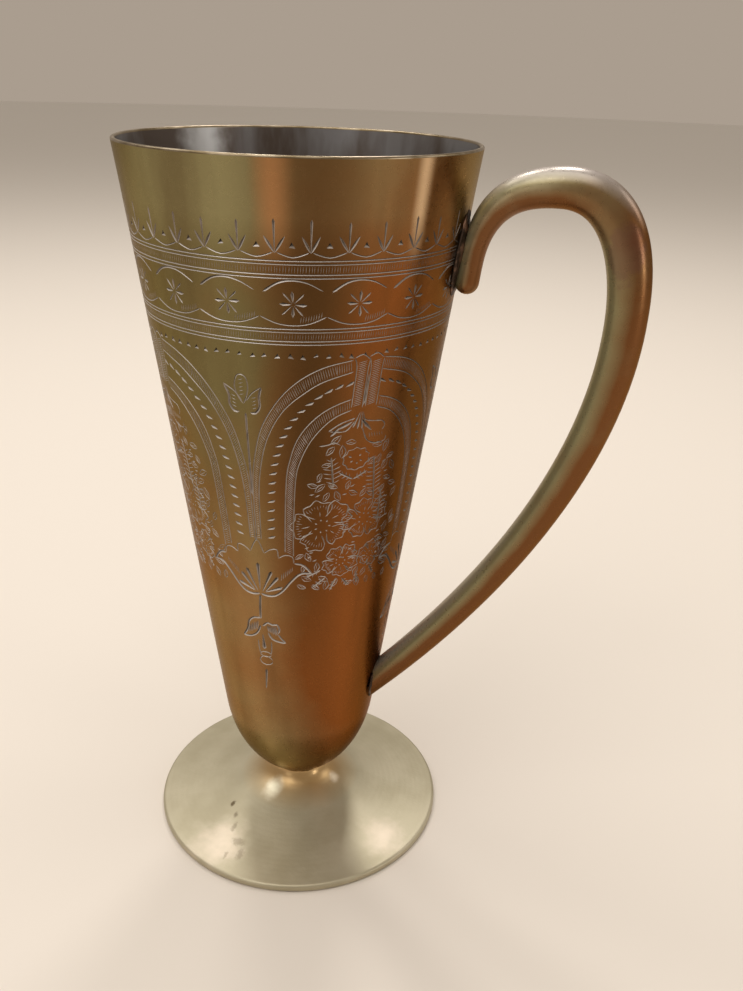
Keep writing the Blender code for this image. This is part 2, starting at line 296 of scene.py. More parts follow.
def turned(name, profile):
    """Draw a profile of (radius, height) points edge by edge and spin it round the cup's axis."""
    bpy.ops.mesh.primitive_plane_add(size=MM, location=(0.0, 0.0, 0.0))
    piece = bpy.context.object
    piece.name = name
    edit(piece)
    bpy.ops.mesh.merge(type="CENTER")
    bpy.ops.transform.translate(value=(AXIS_X + profile[0][0], 0.0, profile[0][1]))
    for before, after in zip(profile, profile[1:]):
        step = (after[0] - before[0], 0.0, after[1] - before[1])
        bpy.ops.mesh.extrude_vertices_move(TRANSFORM_OT_translate={"value": step})
    bpy.ops.mesh.select_all(action="SELECT")
    bpy.ops.mesh.spin(steps=TURN_STEPS, angle=2 * math.pi, center=(AXIS_X, 0.0, 0.0), axis=(0.0, 0.0, 1.0))
    close_up()
    bpy.ops.object.shade_smooth_by_angle(angle=CREASE_ANGLE)
    return piece


# Engraving: every cut is a centre line with a half width at each of its points

cuts = []
punches = []


def degrees(width, height):
    """Degrees round the wall that a width in millimetres takes up at a height."""
    return math.degrees(width * MM / wall_radius(height * MM))


def span(a, b):
    """True distance in millimetres between two places on the unrolled wall."""
    degree = math.radians(wall_radius((a[1] + b[1]) / 2 * MM)) / MM
    return math.hypot((b[0] - a[0]) * degree, b[1] - a[1])


def flow(points):
    """A smooth curve through a few places, with a point about every curve step."""
    places = [Vector(p) for p in points]
    curve = [places[0]]
    for i in range(len(places) - 1):
        before = places[max(i - 1, 0)]
        start, end = places[i], places[i + 1]
        after = places[min(i + 2, len(places) - 1)]
        count = max(2, math.ceil(span(start, end) / CURVE_STEP) + 1)
        leave = start + (end - before) / 6
        arrive = end - (after - start) / 6
        curve += interpolate_bezier(start, leave, arrive, end, count)[1:]
    if len(curve) == 2:
        curve.insert(1, (curve[0] + curve[1]) / 2)
    return curve


def even(share):
    """A line of one width with short pointed ends."""
    return 0.0 if share in (0.0, 1.0) else 1.0


def leaf(share):
    """A cut that swells in its middle."""
    return math.sin(math.pi * share)


def wedge(share):
    """A cut that opens from a point to a blunt end."""
    return 0.0 if share in (0.0, 1.0) else 0.12 + 0.88 * share


def wriggled(share):
    """A line rocked forward with the graver, thick and thin by turns."""
    return 0.0 if share in (0.0, 1.0) else hand.uniform(0.5, 1.25)


def comma(share):
    """A cut that starts fat and thins away."""
    return 0.0 if share in (0.0, 1.0) else 1.0 - 0.65 * share


def cut(points, width=LINE, swell=even):
    """Engrave one stroke through a few places."""
    line = flow(points)
    last = len(line) - 1
    cuts.append((line, [width / 2 * swell(i / last) for i in range(last + 1)]))


def punch(place, width, height, lean=0.0):
    """Strike one small three-cornered hole, point upwards."""
    half = degrees(width, place[1]) / 2
    corners = [(-half, -height / 2), (half, -height / 2 + lean), (lean, height / 2)]
    punches.append((place, [(place[0] + x, place[1] + z) for x, z in corners]))


def wander(amount):
    """A small slip of the hand."""
    return hand.uniform(-amount, amount)


def ruled_line(height):
    """One line right round the cup, drawn past the seam of the unrolled wall at both ends."""
    step = 360 / TURN_STEPS
    line = [Vector((i * step, height)) for i in range(-1, TURN_STEPS + 2)]
    cuts.append((line, [LINE / 2] * len(line)))


def placed(axis, points, side=1):
    """Points counted from an axis, moved there, and mirrored for its left side."""
    return [(axis + side * x, z) for x, z in points]


def hatched_ring(low, high):
    """A ring of fine upright ticks between two ruled lines."""
    for i in range(HATCH_COUNT):
        at = 360 * i / HATCH_COUNT + wander(0.12)
        cut([(at, low + 0.2), (at + 0.15, high - 0.2)], 0.13, leaf)


def sprig_border():
    """Three-stroke sprigs on a row of festoons, with a punched dot between each pair."""
    base = SPRIG_BASE
    feet = [SPRIG_FIRST + 360 * i / SPRIG_COUNT + wander(0.7) for i in range(SPRIG_COUNT)]
    for i, at in enumerate(feet):
        reach = degrees(1.95 + wander(0.2), base)
        cut([(at, base), (at + wander(0.2), base + 6.3 + wander(0.4))], 0.62, wedge)
        for side in (-1, 1):
            cut(placed(at, ((0, base), (reach * 0.52, base + 1.75), (reach, base + 3.3)), side), 0.58, leaf)
        after = feet[i + 1] if i + 1 < SPRIG_COUNT else feet[0] + 360
        between = (at + after) / 2
        cut([(at + 0.4, base + 0.2), (between, base - 0.8), (after - 0.4, base + 0.2)])
        punch((between + wander(0.2), SPRIG_DOT_HEIGHT), 1.3, 1.1, wander(0.2))


def cell_band():
    """Star in every cell, under a drawn brow and over a scallop."""
    edge = 180 / CELL_COUNT
    brow = ((-1.0, 155.4), (-0.5, 157.3), (0.0, 157.8), (0.5, 157.2), (1.0, 155.6))
    scallop = ((-1.0, 150.4), (-0.5, 149.0), (0.0, 148.6), (0.5, 149.0), (1.0, 150.4))
    for i in range(CELL_COUNT):
        at = CELL_FIRST + 2 * edge * i + wander(0.4)
        cut([(at + CELL_BROW * share, z) for share, z in brow], 0.55, comma)
        cut([(at + edge * share, z) for share, z in scallop])
        star(at, STAR_HEIGHT)
        for tick in range(9):
            across = 2.2 + 0.82 * tick
            low = 148.9 + 1.5 * (across / edge) ** 2
            cut([(at + across, low), (at + across + 0.35, low + 1.5)], 0.18, leaf)


def star(at, height):
    """Eight strokes round a point: the upright and level ones short and fat, the slanting ones thin."""
    for ray in range(8):
        angle = math.radians(45 * ray + wander(5))
        fat = ray % 2 == 0
        inner, outer = (0.35, 2.75) if fat else (0.3, 3.1)
        across, up = math.cos(angle), math.sin(angle)
        ends = [(at + degrees(across * reach, height), height + up * reach) for reach in (inner, outer)]
        cut(ends, 1.0 if fat else 0.5, wedge)


def dot_row():
    """Row of punched dots over the arches."""
    for i in range(DOT_COUNT):
        size = 1.2 + wander(0.15)
        punch((360 * i / DOT_COUNT + wander(0.5), DOT_HEIGHT + wander(0.2)), size, 0.85 * size, wander(0.3))


# Arch panels: lines of the right half, counted from the flower axis on its left

OUTER_ARCH = (
    ((0.5, 96.5), (0.6, 107), (1.2, 113.6), (3.3, 120.1), (6.0, 125.3), (10.3, 130.0), (15.7, 134.2),
     (22.2, 137.5), (29.8, 139.7), (39.0, 140.8)),
    ((2.6, 96.5), (2.9, 105), (3.8, 112.5), (6.2, 119.6), (9.6, 125.0), (14.6, 129.8), (21.1, 133.4),
     (28.7, 136.3), (39.4, 138.2)),
)
INNER_ARCH = (
    ((13.6, 93.5), (13.9, 100.6), (15.0, 113.0), (16.6, 118.0), (19.0, 122.3), (22.8, 125.9), (28.2, 129.0),
     (34.0, 130.9), (39.4, 131.9)),
    ((17.4, 92.5), (17.6, 100.6), (18.7, 113.0), (20.8, 118.0), (24.4, 122.4), (29.3, 126.0), (34.2, 128.2),
     (39.8, 129.4)),
)
DASH_ROW = ((7.6, 97.5), (8.2, 106), (9.6, 114), (12.3, 120.6), (16.3, 126.0), (20.3, 129.2), (25.0, 131.9),
            (30.0, 133.9), (34.8, 135.0), (38.4, 135.4))


def along(points, gap):
    """Places at equal steps along a smooth curve, each with the curve's direction there."""
    curve = flow(points)
    ways = [0.0]
    for a, b in zip(curve, curve[1:]):
        ways.append(ways[-1] + span(a, b))
    count = max(1, round(ways[-1] / gap))
    found = []
    at = 0
    for i in range(count + 1):
        way = ways[-1] * i / count
        while at < len(curve) - 2 and ways[at + 1] < way:
            at += 1
        share = (way - ways[at]) / (ways[at + 1] - ways[at])
        found.append((curve[at].lerp(curve[at + 1], share), curve[at + 1] - curve[at]))
    return found


def hatched_band(axis, side, lines):
    """Two lines with fine rungs between them."""
    drawn = [placed(axis, line, side) for line in lines]
    for line in drawn:
        cut(line)
    first = along(drawn[0], RUNG_GAP)
    second = along(drawn[1], RUNG_GAP)
    for i in range(1, len(first) - 1):
        a = first[i][0]
        b = second[round(i * (len(second) - 1) / (len(first) - 1))][0]
        cut([a.lerp(b, 0.08), a.lerp(b, 0.92)], HATCH, leaf)


def dash_row(axis, side):
    """Short wedge cuts that fan out between the two arches."""
    for place, direction in along(placed(axis, DASH_ROW, side), DASH_GAP):
        upright = abs(direction.y) / max(abs(direction.x) * SHEET_DEGREE, 1e-6)
        rise = 0.35 if upright > 1 else 0.55
        half = degrees(0.95, place.y)
        start = (place.x - half, place.y - rise * side)
        end = (place.x + half, place.y + rise * side)
        cut([start, end] if side > 0 else [end, start], 1.0, wedge)


def arch_panel(axis):
    """Halves of the two arches that meet at a flower's axis."""
    for side in (1, -1):
        hatched_band(axis, side, OUTER_ARCH)
        hatched_band(axis, side, INNER_ARCH)
        dash_row(axis, side)


def tulip(axis):
    """Flower on a long stem between two arches."""
    cut(placed(axis, ((0.3, 128.6), (0.2, 118), (0.1, 108.5))), 0.5)
    cut(placed(axis, ((-0.3, 130.6), (-2.2, 132.4), (-3.2, 134.6), (-2.2, 136.8), (-0.5, 137.3), (1.3, 136.7),
                      (1.9, 134.6), (1.1, 132.4), (-0.2, 130.6))))
    for side, tip in ((-1, 7.6), (1, 6.8)):
        cut(placed(axis, ((0.7, 131.2), (3.2, 133.2), (tip, 134.8)), side))
        cut(placed(axis, ((tip, 134.8), (5.8, 132.4), (5.9, 130.3), (4.2, 128.7), (2.0, 128.7)), side), 0.55)
        for tick in range(4):
            low = 129.6 + 0.8 * tick
            cut(placed(axis, ((3.0, low), (4.9, low + 0.5)), side), FINE, leaf)
    for tick in range(5):
        cut(placed(axis, ((-1.6, 132.6 + 0.85 * tick), (0.2, 132.9 + 0.85 * tick))), FINE, leaf)


def lotus(axis):
    """Open flower that carries the arches."""
    for side in (-1, 1):
        cut(placed(axis, ((0.3, 81.0), (4.2, 80.6), (8.2, 81.0), (12.0, 82.6), (15.6, 85.0), (19.6, 87.2),
                          (22.8, 87.8), (26.2, 87.5)), side), 0.6)
        cut(placed(axis, ((26.2, 87.5), (23.6, 89.3), (20.8, 90.3), (17.6, 90.5)), side), 0.55)
        cut(placed(axis, ((17.6, 90.5), (17.0, 92.4), (13.6, 92.8), (10.2, 91.8)), side))
        cut(placed(axis, ((10.2, 91.8), (9.8, 94.2), (6.4, 94.0), (3.4, 92.8)), side))
        for start, reach, tip in ((1.17, 6.6, 87.9), (2.52, 9.8, 86.38), (2.655, 11.8, 83.53)):
            cut(placed(axis, ((start, 81.6), (reach, tip)), side), 1.0, wedge)
        for tick in range(6):
            at = 11.2 + tick * 1.05
            cut(placed(axis, ((at, 85.2 + tick * 0.55), (at + 0.5, 87.6 + tick * 0.4)), side), FINE, leaf)
    cut(placed(axis, ((-3.4, 92.8), (-1.4, 95.2), (0.6, 96.4), (2.2, 94.8), (3.4, 92.8))))
    cut(placed(axis, ((0, 82.0), (-0.2, 89.9))), 1.0, wedge)


def pendant(axis):
    """Stem below the open flower with two curling leaves, a bud and a tail."""
    cut(placed(axis, ((-0.2, 80.6), (-0.9, 77), (-1.2, 73.2))), 0.6)
    cut(placed(axis, ((-1.0, 73.4), (-5.0, 73.3), (-8.6, 71.8), (-10.2, 69.2), (-13.4, 66.8))), 0.55)
    cut(placed(axis, ((-13.4, 66.8), (-8.4, 67.2), (-4.2, 68.6), (-1.6, 71.2))), 0.55)
    for tick in range(7):
        at = -3.0 - tick * 1.15
        cut(placed(axis, ((at, 72.6 - 0.35 * tick), (at - 0.9, 69.6 - 0.3 * tick))), 0.4, leaf)
    cut(placed(axis, ((-0.6, 71.0), (2.6, 72.3), (5.2, 71.8), (8.0, 72.0), (9.0, 70.6), (8.2, 69.2))), 0.55)
    cut(placed(axis, ((2.4, 69.4), (4.8, 67.4), (9.2, 66.7), (12.6, 66.5))), 0.55)
    cut(placed(axis, ((8.2, 69.2), (9.9, 67.9), (12.6, 66.5))), 0.5)
    for tick in range(6):
        at = 2.2 + tick * 0.95
        cut(placed(axis, ((at, 71.6), (at + 0.8, 69.4 - 0.2 * tick))), 0.4, leaf)
    for side in (-1, 1):
        cut(placed(axis, ((4.0, 66.6), (3.9, 64.2), (3.2, 62.2)), side))
    cut(placed(axis, ((-0.8, 68.6), (-0.5, 63.8))), 1.2, wedge)
    turns = [math.radians(a) for a in range(0, 390, 30)]
    for middle, half_width, half_height in ((62.2, 3.4, 0.8), (60.2, 4.0, 1.4)):
        cut([(axis + half_width * math.cos(a), middle + half_height * math.sin(a)) for a in turns])
    cut(placed(axis, ((-0.4, 57.4), (-1.0, 54), (-1.8, 50.6))), 0.7, comma)


# Hanging bouquet inside each arch, counted from the arch's middle

BOW_LEAVES = (
    ((-3.4, 127.4), (-9.2, 126.4), (-13.8, 124.7)),
    ((-3.6, 126.6), (-7.0, 124.5), (-10.9, 124.5), (-13.8, 124.7)),
    ((-0.5, 127.4), (1.6, 126.5), (5.3, 126.0), (8.7, 125.7), (10.2, 124.5), (9.0, 123.3)),
    ((-0.2, 125.0), (2.0, 121.9), (5.4, 120.6), (8.7, 120.4), (11.2, 120.7), (11.4, 121.9)),
    ((-17.2, 121.2), (-13.4, 121.5), (-11.3, 122.0), (-8.6, 121.1)),
    ((10.8, 120.4), (13.4, 119.8)),
)
BOW_VEINS = (
    ((-1, 127.0), (4.1, 123.8)),
    ((-4.4, 126.6), (-11.0, 124.9)),
    ((-9.6, 125.4), (-13.0, 123.4)),
)
LONG_LEAVES = (
    ((-10.6, 110.6), (-12.2, 118.4), 2.1),
    ((9.4, 105.6), (6.8, 117.2), 2.2),
    ((13.6, 98.6), (13.0, 108.4), 2.0),
    ((-2.2, 112.2), (-8.6, 114.3), 1.0),
    ((-2.2, 112.2), (4.2, 113.8), 1.0),
)
FOOT_LEAVES = (
    ((-14.4, 88.4), (-21.8, 86.6)),
    ((-12.0, 86.2), (-18.4, 83.6)),
    ((-6.6, 85.6), (-9.4, 82.2)),
    ((-3.6, 85.4), (0.6, 82.8)),
    ((4.4, 86.4), (5.6, 82.8)),
    ((12.0, 87.2), (15.6, 84.2)),
)
# Place, size, number of petals, and turn of the first petal in degrees
BLOSSOMS = (
    (-14.6, 100.7, 6.5, 5, 180),
    (5.8, 101.0, 6.0, 5, 95),
    (-4.8, 90.4, 4.4, 5, 200),
    (11.8, 90.2, 3.6, 5, 150),
)
# Places in millimetres from the arch's middle that the small leaves keep clear of, with the distance kept
CLEAR_OF_LEAVES = (
    (-0.8, 117.3, 4.0),
    (-5.8, 114.4, 2.6),
    (4.2, 111.4, 2.8),
    (-0.4, 112.6, 2.2),
    (-4.6, 125.6, 2.8),
    (3.0, 123.6, 3.6),
)
LOOSE_TICKS = (
    (-20.6, 111.9), (-19.6, 109.2), (-17.2, 108.6), (-16.8, 112.4), (-2.0, 110.4), (-5.4, 108.6),
    (3.8, 109.8), (-21.4, 94.8), (-19.4, 93.6), (-20.2, 92.2), (-17.6, 91.2), (14.8, 96.2), (17.4, 97.2),
    (16.4, 94.0), (17.6, 102.4), (18.8, 100.2), (16.8, 105.6), (1.0, 95.2), (-0.4, 93.4), (2.0, 90.6),
    (1.2, 87.8), (14.2, 112.6), (15.0, 110.4), (12.6, 115.2), (-4.2, 98.2), (15.8, 90.0), (17.2, 92.4),
    (-14.6, 84.6),
)


def tie(axis):
    """Two hatched ribbons that bind the arches at the top."""
    for left, right, lean in ((-4.6, -0.2, -0.9), (0.9, 5.6, -0.8)):
        half = lean / 2
        cut(placed(axis, ((left - 0.9, 141.2), (left, 139.2), (left + half, 134), (left + lean, 129.8))))
        cut(placed(axis, ((right + 0.6, 140.6), (right, 138.6), (right + half, 134), (right + lean, 129.6))))
        cut(placed(axis, ((left - 0.9, 141.2), ((left + right) / 2, 141.9), (right + 0.6, 140.6))))
        for tick in range(24):
            low = 130.2 + tick * 0.425
            slip = lean * (139.5 - low) / 10
            cut(placed(axis, ((left + slip + 0.4, low), (right + slip - 0.4, low + 0.45))), HATCH, leaf)
    cut(placed(axis, ((0.3, 137.4), (-0.3, 130.6))), 0.8, wedge)


def bow(axis):
    """Leaves and stems that spread from the knot."""
    for stroke in BOW_LEAVES:
        cut(placed(axis, stroke), 0.32, wriggled)
    for stroke in BOW_VEINS:
        cut(placed(axis, stroke), BOLD, leaf)
    for tick in range(6):
        cut(placed(axis, ((3.0 + tick * 1.2, 123.6 - 0.1 * tick), (3.6 + tick * 1.2, 122.0))), FINE, leaf)
    for spread in (-3.4, -1.4, 0.5, 2.2):
        cut(placed(axis - 0.9, ((0.2 * spread, 128.8), (spread, 124.4 + 0.2 * abs(spread)))), 0.6, wedge)


def blossom(axis, at, height, size, petals, turn):
    """Flower with broad lobed petals, hatched inside their edges, round an eye of dots."""
    def place(reach, angle):
        return axis + at + degrees(reach * math.cos(angle), height), height + reach * math.sin(angle)

    for i in range(petals):
        facing = math.radians(turn + 360 * i / petals + wander(9))
        half = math.pi / petals * (0.98 + wander(0.08))
        reach = size * (1 + wander(0.16))
        edge = [place(reach * 0.36, facing - half * 0.7), place(reach * 0.7, facing - half)]
        for lobe, share in enumerate((0.94, 0.87, 1.02, 0.9, 0.95)):
            edge.append(place(reach * (share + wander(0.03)), facing + half * (0.38 * lobe - 0.76)))
        edge += [place(reach * 0.7, facing + half), place(reach * 0.36, facing + half * 0.7)]
        cut(edge, 0.28, wriggled)
        for tick in range(9):
            swing = facing + half * (0.19 * tick - 0.76)
            cut([place(reach * (0.66 + wander(0.06)), swing), place(reach * 0.83, swing)], HATCH, leaf)
        vein_end = place(reach * (0.62 + wander(0.05)), facing + wander(0.15))
        cut([place(reach * 0.38, facing), vein_end], 0.3, leaf)
    for dot in range(7):
        angle = 2 * math.pi * dot / 7
        cut([place(size * 0.2, angle), place(size * 0.3, angle)], 0.45, leaf)


def foliage(axis, kept_clear):
    """Small curling leaves that fill the arch between the flowers."""
    step = 2.75
    for row in range(15):
        height = 83.6 + row * step
        widest = min(12.2, 7.0 + 0.3 * (123.5 - height))
        for column in range(-7, 8):
            across = (column + 0.5 * (row % 2)) * step + wander(0.7)
            centre = Vector((across, height + wander(0.7)))
            if abs(across) > widest:
                continue
            if any((centre - Vector((x, z))).length < reach for x, z, reach in kept_clear):
                continue
            facing = hand.uniform(0.0, 2 * math.pi)
            ahead = Vector((math.cos(facing), math.sin(facing))) * hand.uniform(1.2, 1.8)
            aside = Vector((-ahead.y, ahead.x)) * 0.5
            for bend in (1, -0.7):
                stroke = (centre - ahead, centre + aside * bend, centre + ahead * 0.9)
                cut([(axis + degrees(p.x, p.y), p.y) for p in stroke], 0.25, wriggled)
            vein = (centre - ahead * 0.6, centre + ahead * 0.5)
            cut([(axis + degrees(p.x, p.y), p.y) for p in vein], FINE, leaf)


def serrated_leaf(axis, base, tip, half_width):
    """Long leaf with a midrib and slanting nicks on both sides."""
    start = Vector((axis + base[0], base[1]))
    end = Vector((axis + tip[0], tip[1]))
    cut([start, start.lerp(end, 0.5), end], 0.42)
    count = max(4, round(span(start, end) / 1.05))
    rise = half_width * (end.y - start.y)
    run = half_width * (end.x - start.x) * SHEET_DEGREE
    across = Vector((degrees(rise, start.y), -run)) / span(start, end)
    for i in range(1, count):
        share = i / count
        rib = start.lerp(end, share)
        reach = math.sin(math.pi * (0.15 + 0.8 * share))
        for side in (-1, 1):
            out = rib + across * side * reach + (end - start) * 0.6 / count
            cut([rib, out], 0.4, wedge)


def bud(middle, height):
    """Closed flower with a scalloped edge and short cuts in it."""
    edge = []
    for corner in range(21):
        angle = math.radians(18 * corner)
        swell = (1.0 if corner % 2 else 0.86) + wander(0.03)
        edge.append((middle + 6.2 * swell * math.cos(angle), height + 2.9 * swell * math.sin(angle)))
    cut(edge, LINE, wriggled)
    for x, z in ((-3.6, 0.9), (-2.6, -0.7), (0.5, -1.4), (2.7, -0.7), (2.1, 1.0)):
        cut([(middle + x * 0.55, height + z * 0.55), (middle + x, height + z)], 0.5, leaf)


def bouquet(axis):
    """Tied bunch of flowers that hangs in an arch."""
    tie(axis)
    bow(axis)
    bud(axis - 1.5, 117.3)
    for base, tip, half_width in LONG_LEAVES:
        serrated_leaf(axis, base, tip, half_width)
    kept_clear = list(CLEAR_OF_LEAVES)
    for at, height, size, petals, turn in BLOSSOMS:
        blossom(axis, at, height, size, petals, turn)
        kept_clear.append((at / degrees(1.0, height), height, size + 0.9))
    foliage(axis, kept_clear)
    for base, tip in FOOT_LEAVES:
        serrated_leaf(axis, base, tip, 0.8)
    for x, z in LOOSE_TICKS:
        cut(placed(axis, ((x - 1.1, z - 0.15), (x + 1.1, z + 0.15 + wander(0.3)))), 0.7, wedge)


def draw_ornament():
    """All cuts and punches of the wall."""
    for height in RULED_HEIGHTS:
        ruled_line(height)
    for low, high in HATCHED_RINGS:
        hatched_ring(low, high)
    sprig_border()
    cell_band()
    dot_row()
    for panel in range(PANELS):
        flower_axis = 360 / PANELS * panel
        arch_panel(flower_axis)
        tulip(flower_axis)
        lotus(flower_axis)
        pendant(flower_axis)
        bouquet(flower_axis + 180 / PANELS)


def with_seam_copies(places):
    """A cut's places inside one turn, and once more on the far side if they cross the seam."""
    middle = (min(p[0] for p in places) + max(p[0] for p in places)) / 2
    turns = math.floor(middle / 360) if len(places) < TURN_STEPS else 0
    home = [Vector((p[0] - 360 * turns, p[1])) for p in places]
    copies = [home]
    if len(places) < TURN_STEPS:
        if min(p.x for p in home) < 0:
            copies.append([p + Vector((360, 0)) for p in home])
        if max(p.x for p in home) > 360:
            copies.append([p - Vector((360, 0)) for p in home])
    return copies


class UnrolledWall:
    """The cup's wall as a flat sheet: corners, the edges that must stay, and how deep each corner lies."""

    def __init__(self):
        self.corners = []
        self.edges = []
        self.depths = []
        self.owners = []
        self.segments = []

    def corner(self, place, depth=0.0, owner=-1):
        """Add a corner with its depth and the cut it belongs to, and give its number."""
        self.corners.append(Vector((place[0] * SHEET_DEGREE, place[1])))
        self.depths.append(depth)
        self.owners.append(owner)
        return len(self.corners) - 1

    def chain(self, corners):
        """Keep the edges from each corner to the next."""
        self.edges += list(zip(corners, corners[1:]))

    def add_ground(self):
        """Even corners all over the sheet, with edges along its four sides."""
        rows = round((ENGRAVED_HIGH - ENGRAVED_LOW) / ENGRAVED_ROW)
        grid = []
        for row in range(rows + 1):
            height = ENGRAVED_LOW + (ENGRAVED_HIGH - ENGRAVED_LOW) * row / rows
            grid.append([self.corner((360 * i / TURN_STEPS, height)) for i in range(TURN_STEPS + 1)])
        self.chain(grid[0])
        self.chain(grid[-1])
        self.chain([row[0] for row in grid])
        self.chain([row[-1] for row in grid])

    def add_cut(self, line, halves, owner):
        """Both edges and the bottom of one stroke."""
        left, bottom, right = [], [], []
        last = len(line) - 1
        for i, (place, half) in enumerate(zip(line, halves)):
            point = self.corner(place, half * GRAVER_SLOPE, owner)
            bottom.append(point)
            if half == 0.0:
                left.append(point)
                right.append(point)
                continue
            degree = degrees(1.0, place.y)
            ahead = line[min(i + 1, last)] - line[max(i - 1, 0)]
            across = Vector((-ahead.y, ahead.x / degree)).normalized() * half
            offset = Vector((across.x * degree, across.y))
            left.append(self.corner(place + offset, 0.0, owner))
            right.append(self.corner(place - offset, 0.0, owner))
        for row in (left, bottom, right):
            self.chain(row)
        for i in range(last):
            self.segments.append((line[i], line[i + 1], halves[i], halves[i + 1], owner))

    def add_punch(self, place, ring, owner):
        """Three edges of a struck hole round its deepest point."""
        rim = [self.corner(p, 0.0, owner) for p in ring]
        deepest = self.corner(place, PUNCH_DEPTH, owner)
        self.chain(rim + rim[:1])
        for point in rim:
            self.edges.append((point, deepest))

    def triangles(self):
        """Flat triangles inside one turn, and the depth of every corner, crossing cuts included."""
        made = delaunay_2d_cdt(self.corners, self.edges, [], 0, 1e-5)
        corners, faces, origins = made[0], made[2], made[3]
        reach = CURVE_STEP
        tree = KDTree(len(self.segments))
        for number, (a, b, _, _, _) in enumerate(self.segments):
            tree.insert(((a.x + b.x) / 2 * SHEET_DEGREE, (a.y + b.y) / 2, 0.0), number)
        tree.balance()
        depths = []
        for point, origin in zip(corners, origins):
            deepest = max((self.depths[i] for i in origin), default=0.0)
            own = {self.owners[i] for i in origin}
            degree = degrees(1.0, point.y)
            for _, number, _ in tree.find_range((point.x, point.y, 0.0), reach):
                a, b, half_a, half_b, owner = self.segments[number]
                if owner in own:
                    continue
                start = Vector(((point.x / SHEET_DEGREE - a.x) / degree, point.y - a.y))
                way = Vector(((b.x - a.x) / degree, b.y - a.y))
                share = min(max(start.dot(way) / max(way.length_squared, 1e-9), 0.0), 1.0)
                inside = half_a + (half_b - half_a) * share - (start - share * way).length
                deepest = max(deepest, inside * GRAVER_SLOPE)
            depths.append(deepest if deepest > SHALLOWEST else 0.0)
        width = 360 * SHEET_DEGREE
        kept = [f for f in faces if 0 < sum(corners[i].x for i in f) / 3 < width]
        return corners, depths, kept


def wall_normal(angle):
    """Outward direction of the straight wall at an angle round the cup."""
    level = math.cos(WALL_LEAN)
    return Vector((level * math.cos(angle), level * math.sin(angle), -math.sin(WALL_LEAN)))


def engraved_wall():
    """The engraved stretch of the wall, rolled up, with its cuts in a second material slot."""
    draw_ornament()
    sheet = UnrolledWall()
    sheet.add_ground()
    owner = 0
    for line, halves in cuts:
        for copy in with_seam_copies(line):
            sheet.add_cut(copy, halves, owner)
            owner += 1
    for place, ring in punches:
        for copy in with_seam_copies([place] + ring):
            sheet.add_punch(copy[0], copy[1:], owner)
            owner += 1
    corners, depths, faces = sheet.triangles()
    points = []
    for corner, depth in zip(corners, depths):
        angle = math.radians(corner.x / SHEET_DEGREE)
        height = corner.y * MM
        radius = wall_radius(height)
        surface = Vector((AXIS_X + radius * math.cos(angle), radius * math.sin(angle), height))
        points.append(surface - depth * MM * wall_normal(angle))
    mesh = bpy.data.meshes.new("engraved_wall")
    mesh.from_pydata(points, [], faces)
    depth_layer = mesh.attributes.new("cut_depth", "FLOAT", "POINT")
    depth_layer.data.foreach_set("value", depths)
    for polygon, face in zip(mesh.polygons, faces):
        polygon.material_index = 1 if any(depths[i] > 0 for i in face) else 0
    wall = bpy.data.objects.new("engraved_wall", mesh)
    bpy.context.scene.collection.objects.link(wall)
    return wall


def rim_points():
    """Round edge of the rim, from the outside over to the inside."""
    half = CUP_WALL / 2
    radius = RIM_RADIUS - half
    height = RIM_HEIGHT - half
    turns = [math.pi * i / ARC_POINTS for i in range(ARC_POINTS + 1)]
    return [(radius + half * math.cos(a), height + half * math.sin(a)) for a in turns]


def upright_points(top, bottom, inward):
    """Evenly spaced points down the straight wall, ends left out."""
    heights = [top + (bottom - top) * i / LINING_ROWS for i in range(1, LINING_ROWS)]
    return [(wall_radius(z) - inward / math.cos(WALL_LEAN), z) for z in heights]


def cup_piece():
    """Engraved wall, plain spun bottom, and spun rim and inside, joined to one shell."""
    top = ENGRAVED_HIGH * MM
    bottom = ENGRAVED_LOW * MM
    wall = engraved_wall()
    inside = bowl_points(CUP_WALL)
    rim = rim_points()
    upper = turned("collar", [(wall_radius(top), top), rim[0]])
    edge = turned("rim", rim)
    inner_wall = upright_points(rim[-1][1], inside[0][1], CUP_WALL)
    lining = turned("lining", [rim[-1]] + inner_wall + inside)
    lower = turned("bowl", [(wall_radius(bottom), bottom)] + bowl_points(0.0))
    wall_brass = polished_wall_brass()
    wall.data.materials.append(wall_brass)
    wall.data.materials.append(painted_light_cut())
    upper.data.materials.append(wall_brass)
    edge.data.materials.append(rubbed_rim())
    lining.data.materials.append(wiped_tin())
    lower.data.materials.append(wall_brass)
    bpy.ops.object.select_all(action="DESELECT")
    for part in (upper, edge, lining, lower, wall):
        part.select_set(True)
    bpy.context.view_layer.objects.active = wall
    bpy.ops.object.join()
    edit(wall)
    cup = close_up()
    cup.name = "engraved_cup"
    bpy.ops.object.shade_smooth_by_angle(angle=CREASE_ANGLE)
    smooth_wall(cup.data)
    return cup


def smooth_wall(mesh):
    """Give the plain wall the cup's true direction, so that only the cuts break the reflections."""
    normals = [Vector((0.0, 0.0, 0.0))] * len(mesh.loops)
    for face in mesh.polygons:
        plain = mesh.materials[face.material_index].name == "polished_wall_brass"
        if not plain or face.center.z < BOWL_TOP:
            continue
        for loop in face.loop_indices:
            point = mesh.vertices[mesh.loops[loop].vertex_index].co
            normals[loop] = wall_normal(math.atan2(point.y, point.x - AXIS_X))
    mesh.normals_split_custom_set(normals)


def bezier(bends, share):
    """Point at a share of the curve that its pull points draw, and the direction of the curve there."""
    while len(bends) > 2:
        bends = [a.lerp(b, share) for a, b in zip(bends, bends[1:])]
    return bends[0].lerp(bends[1], share), (bends[1] - bends[0]).normalized()


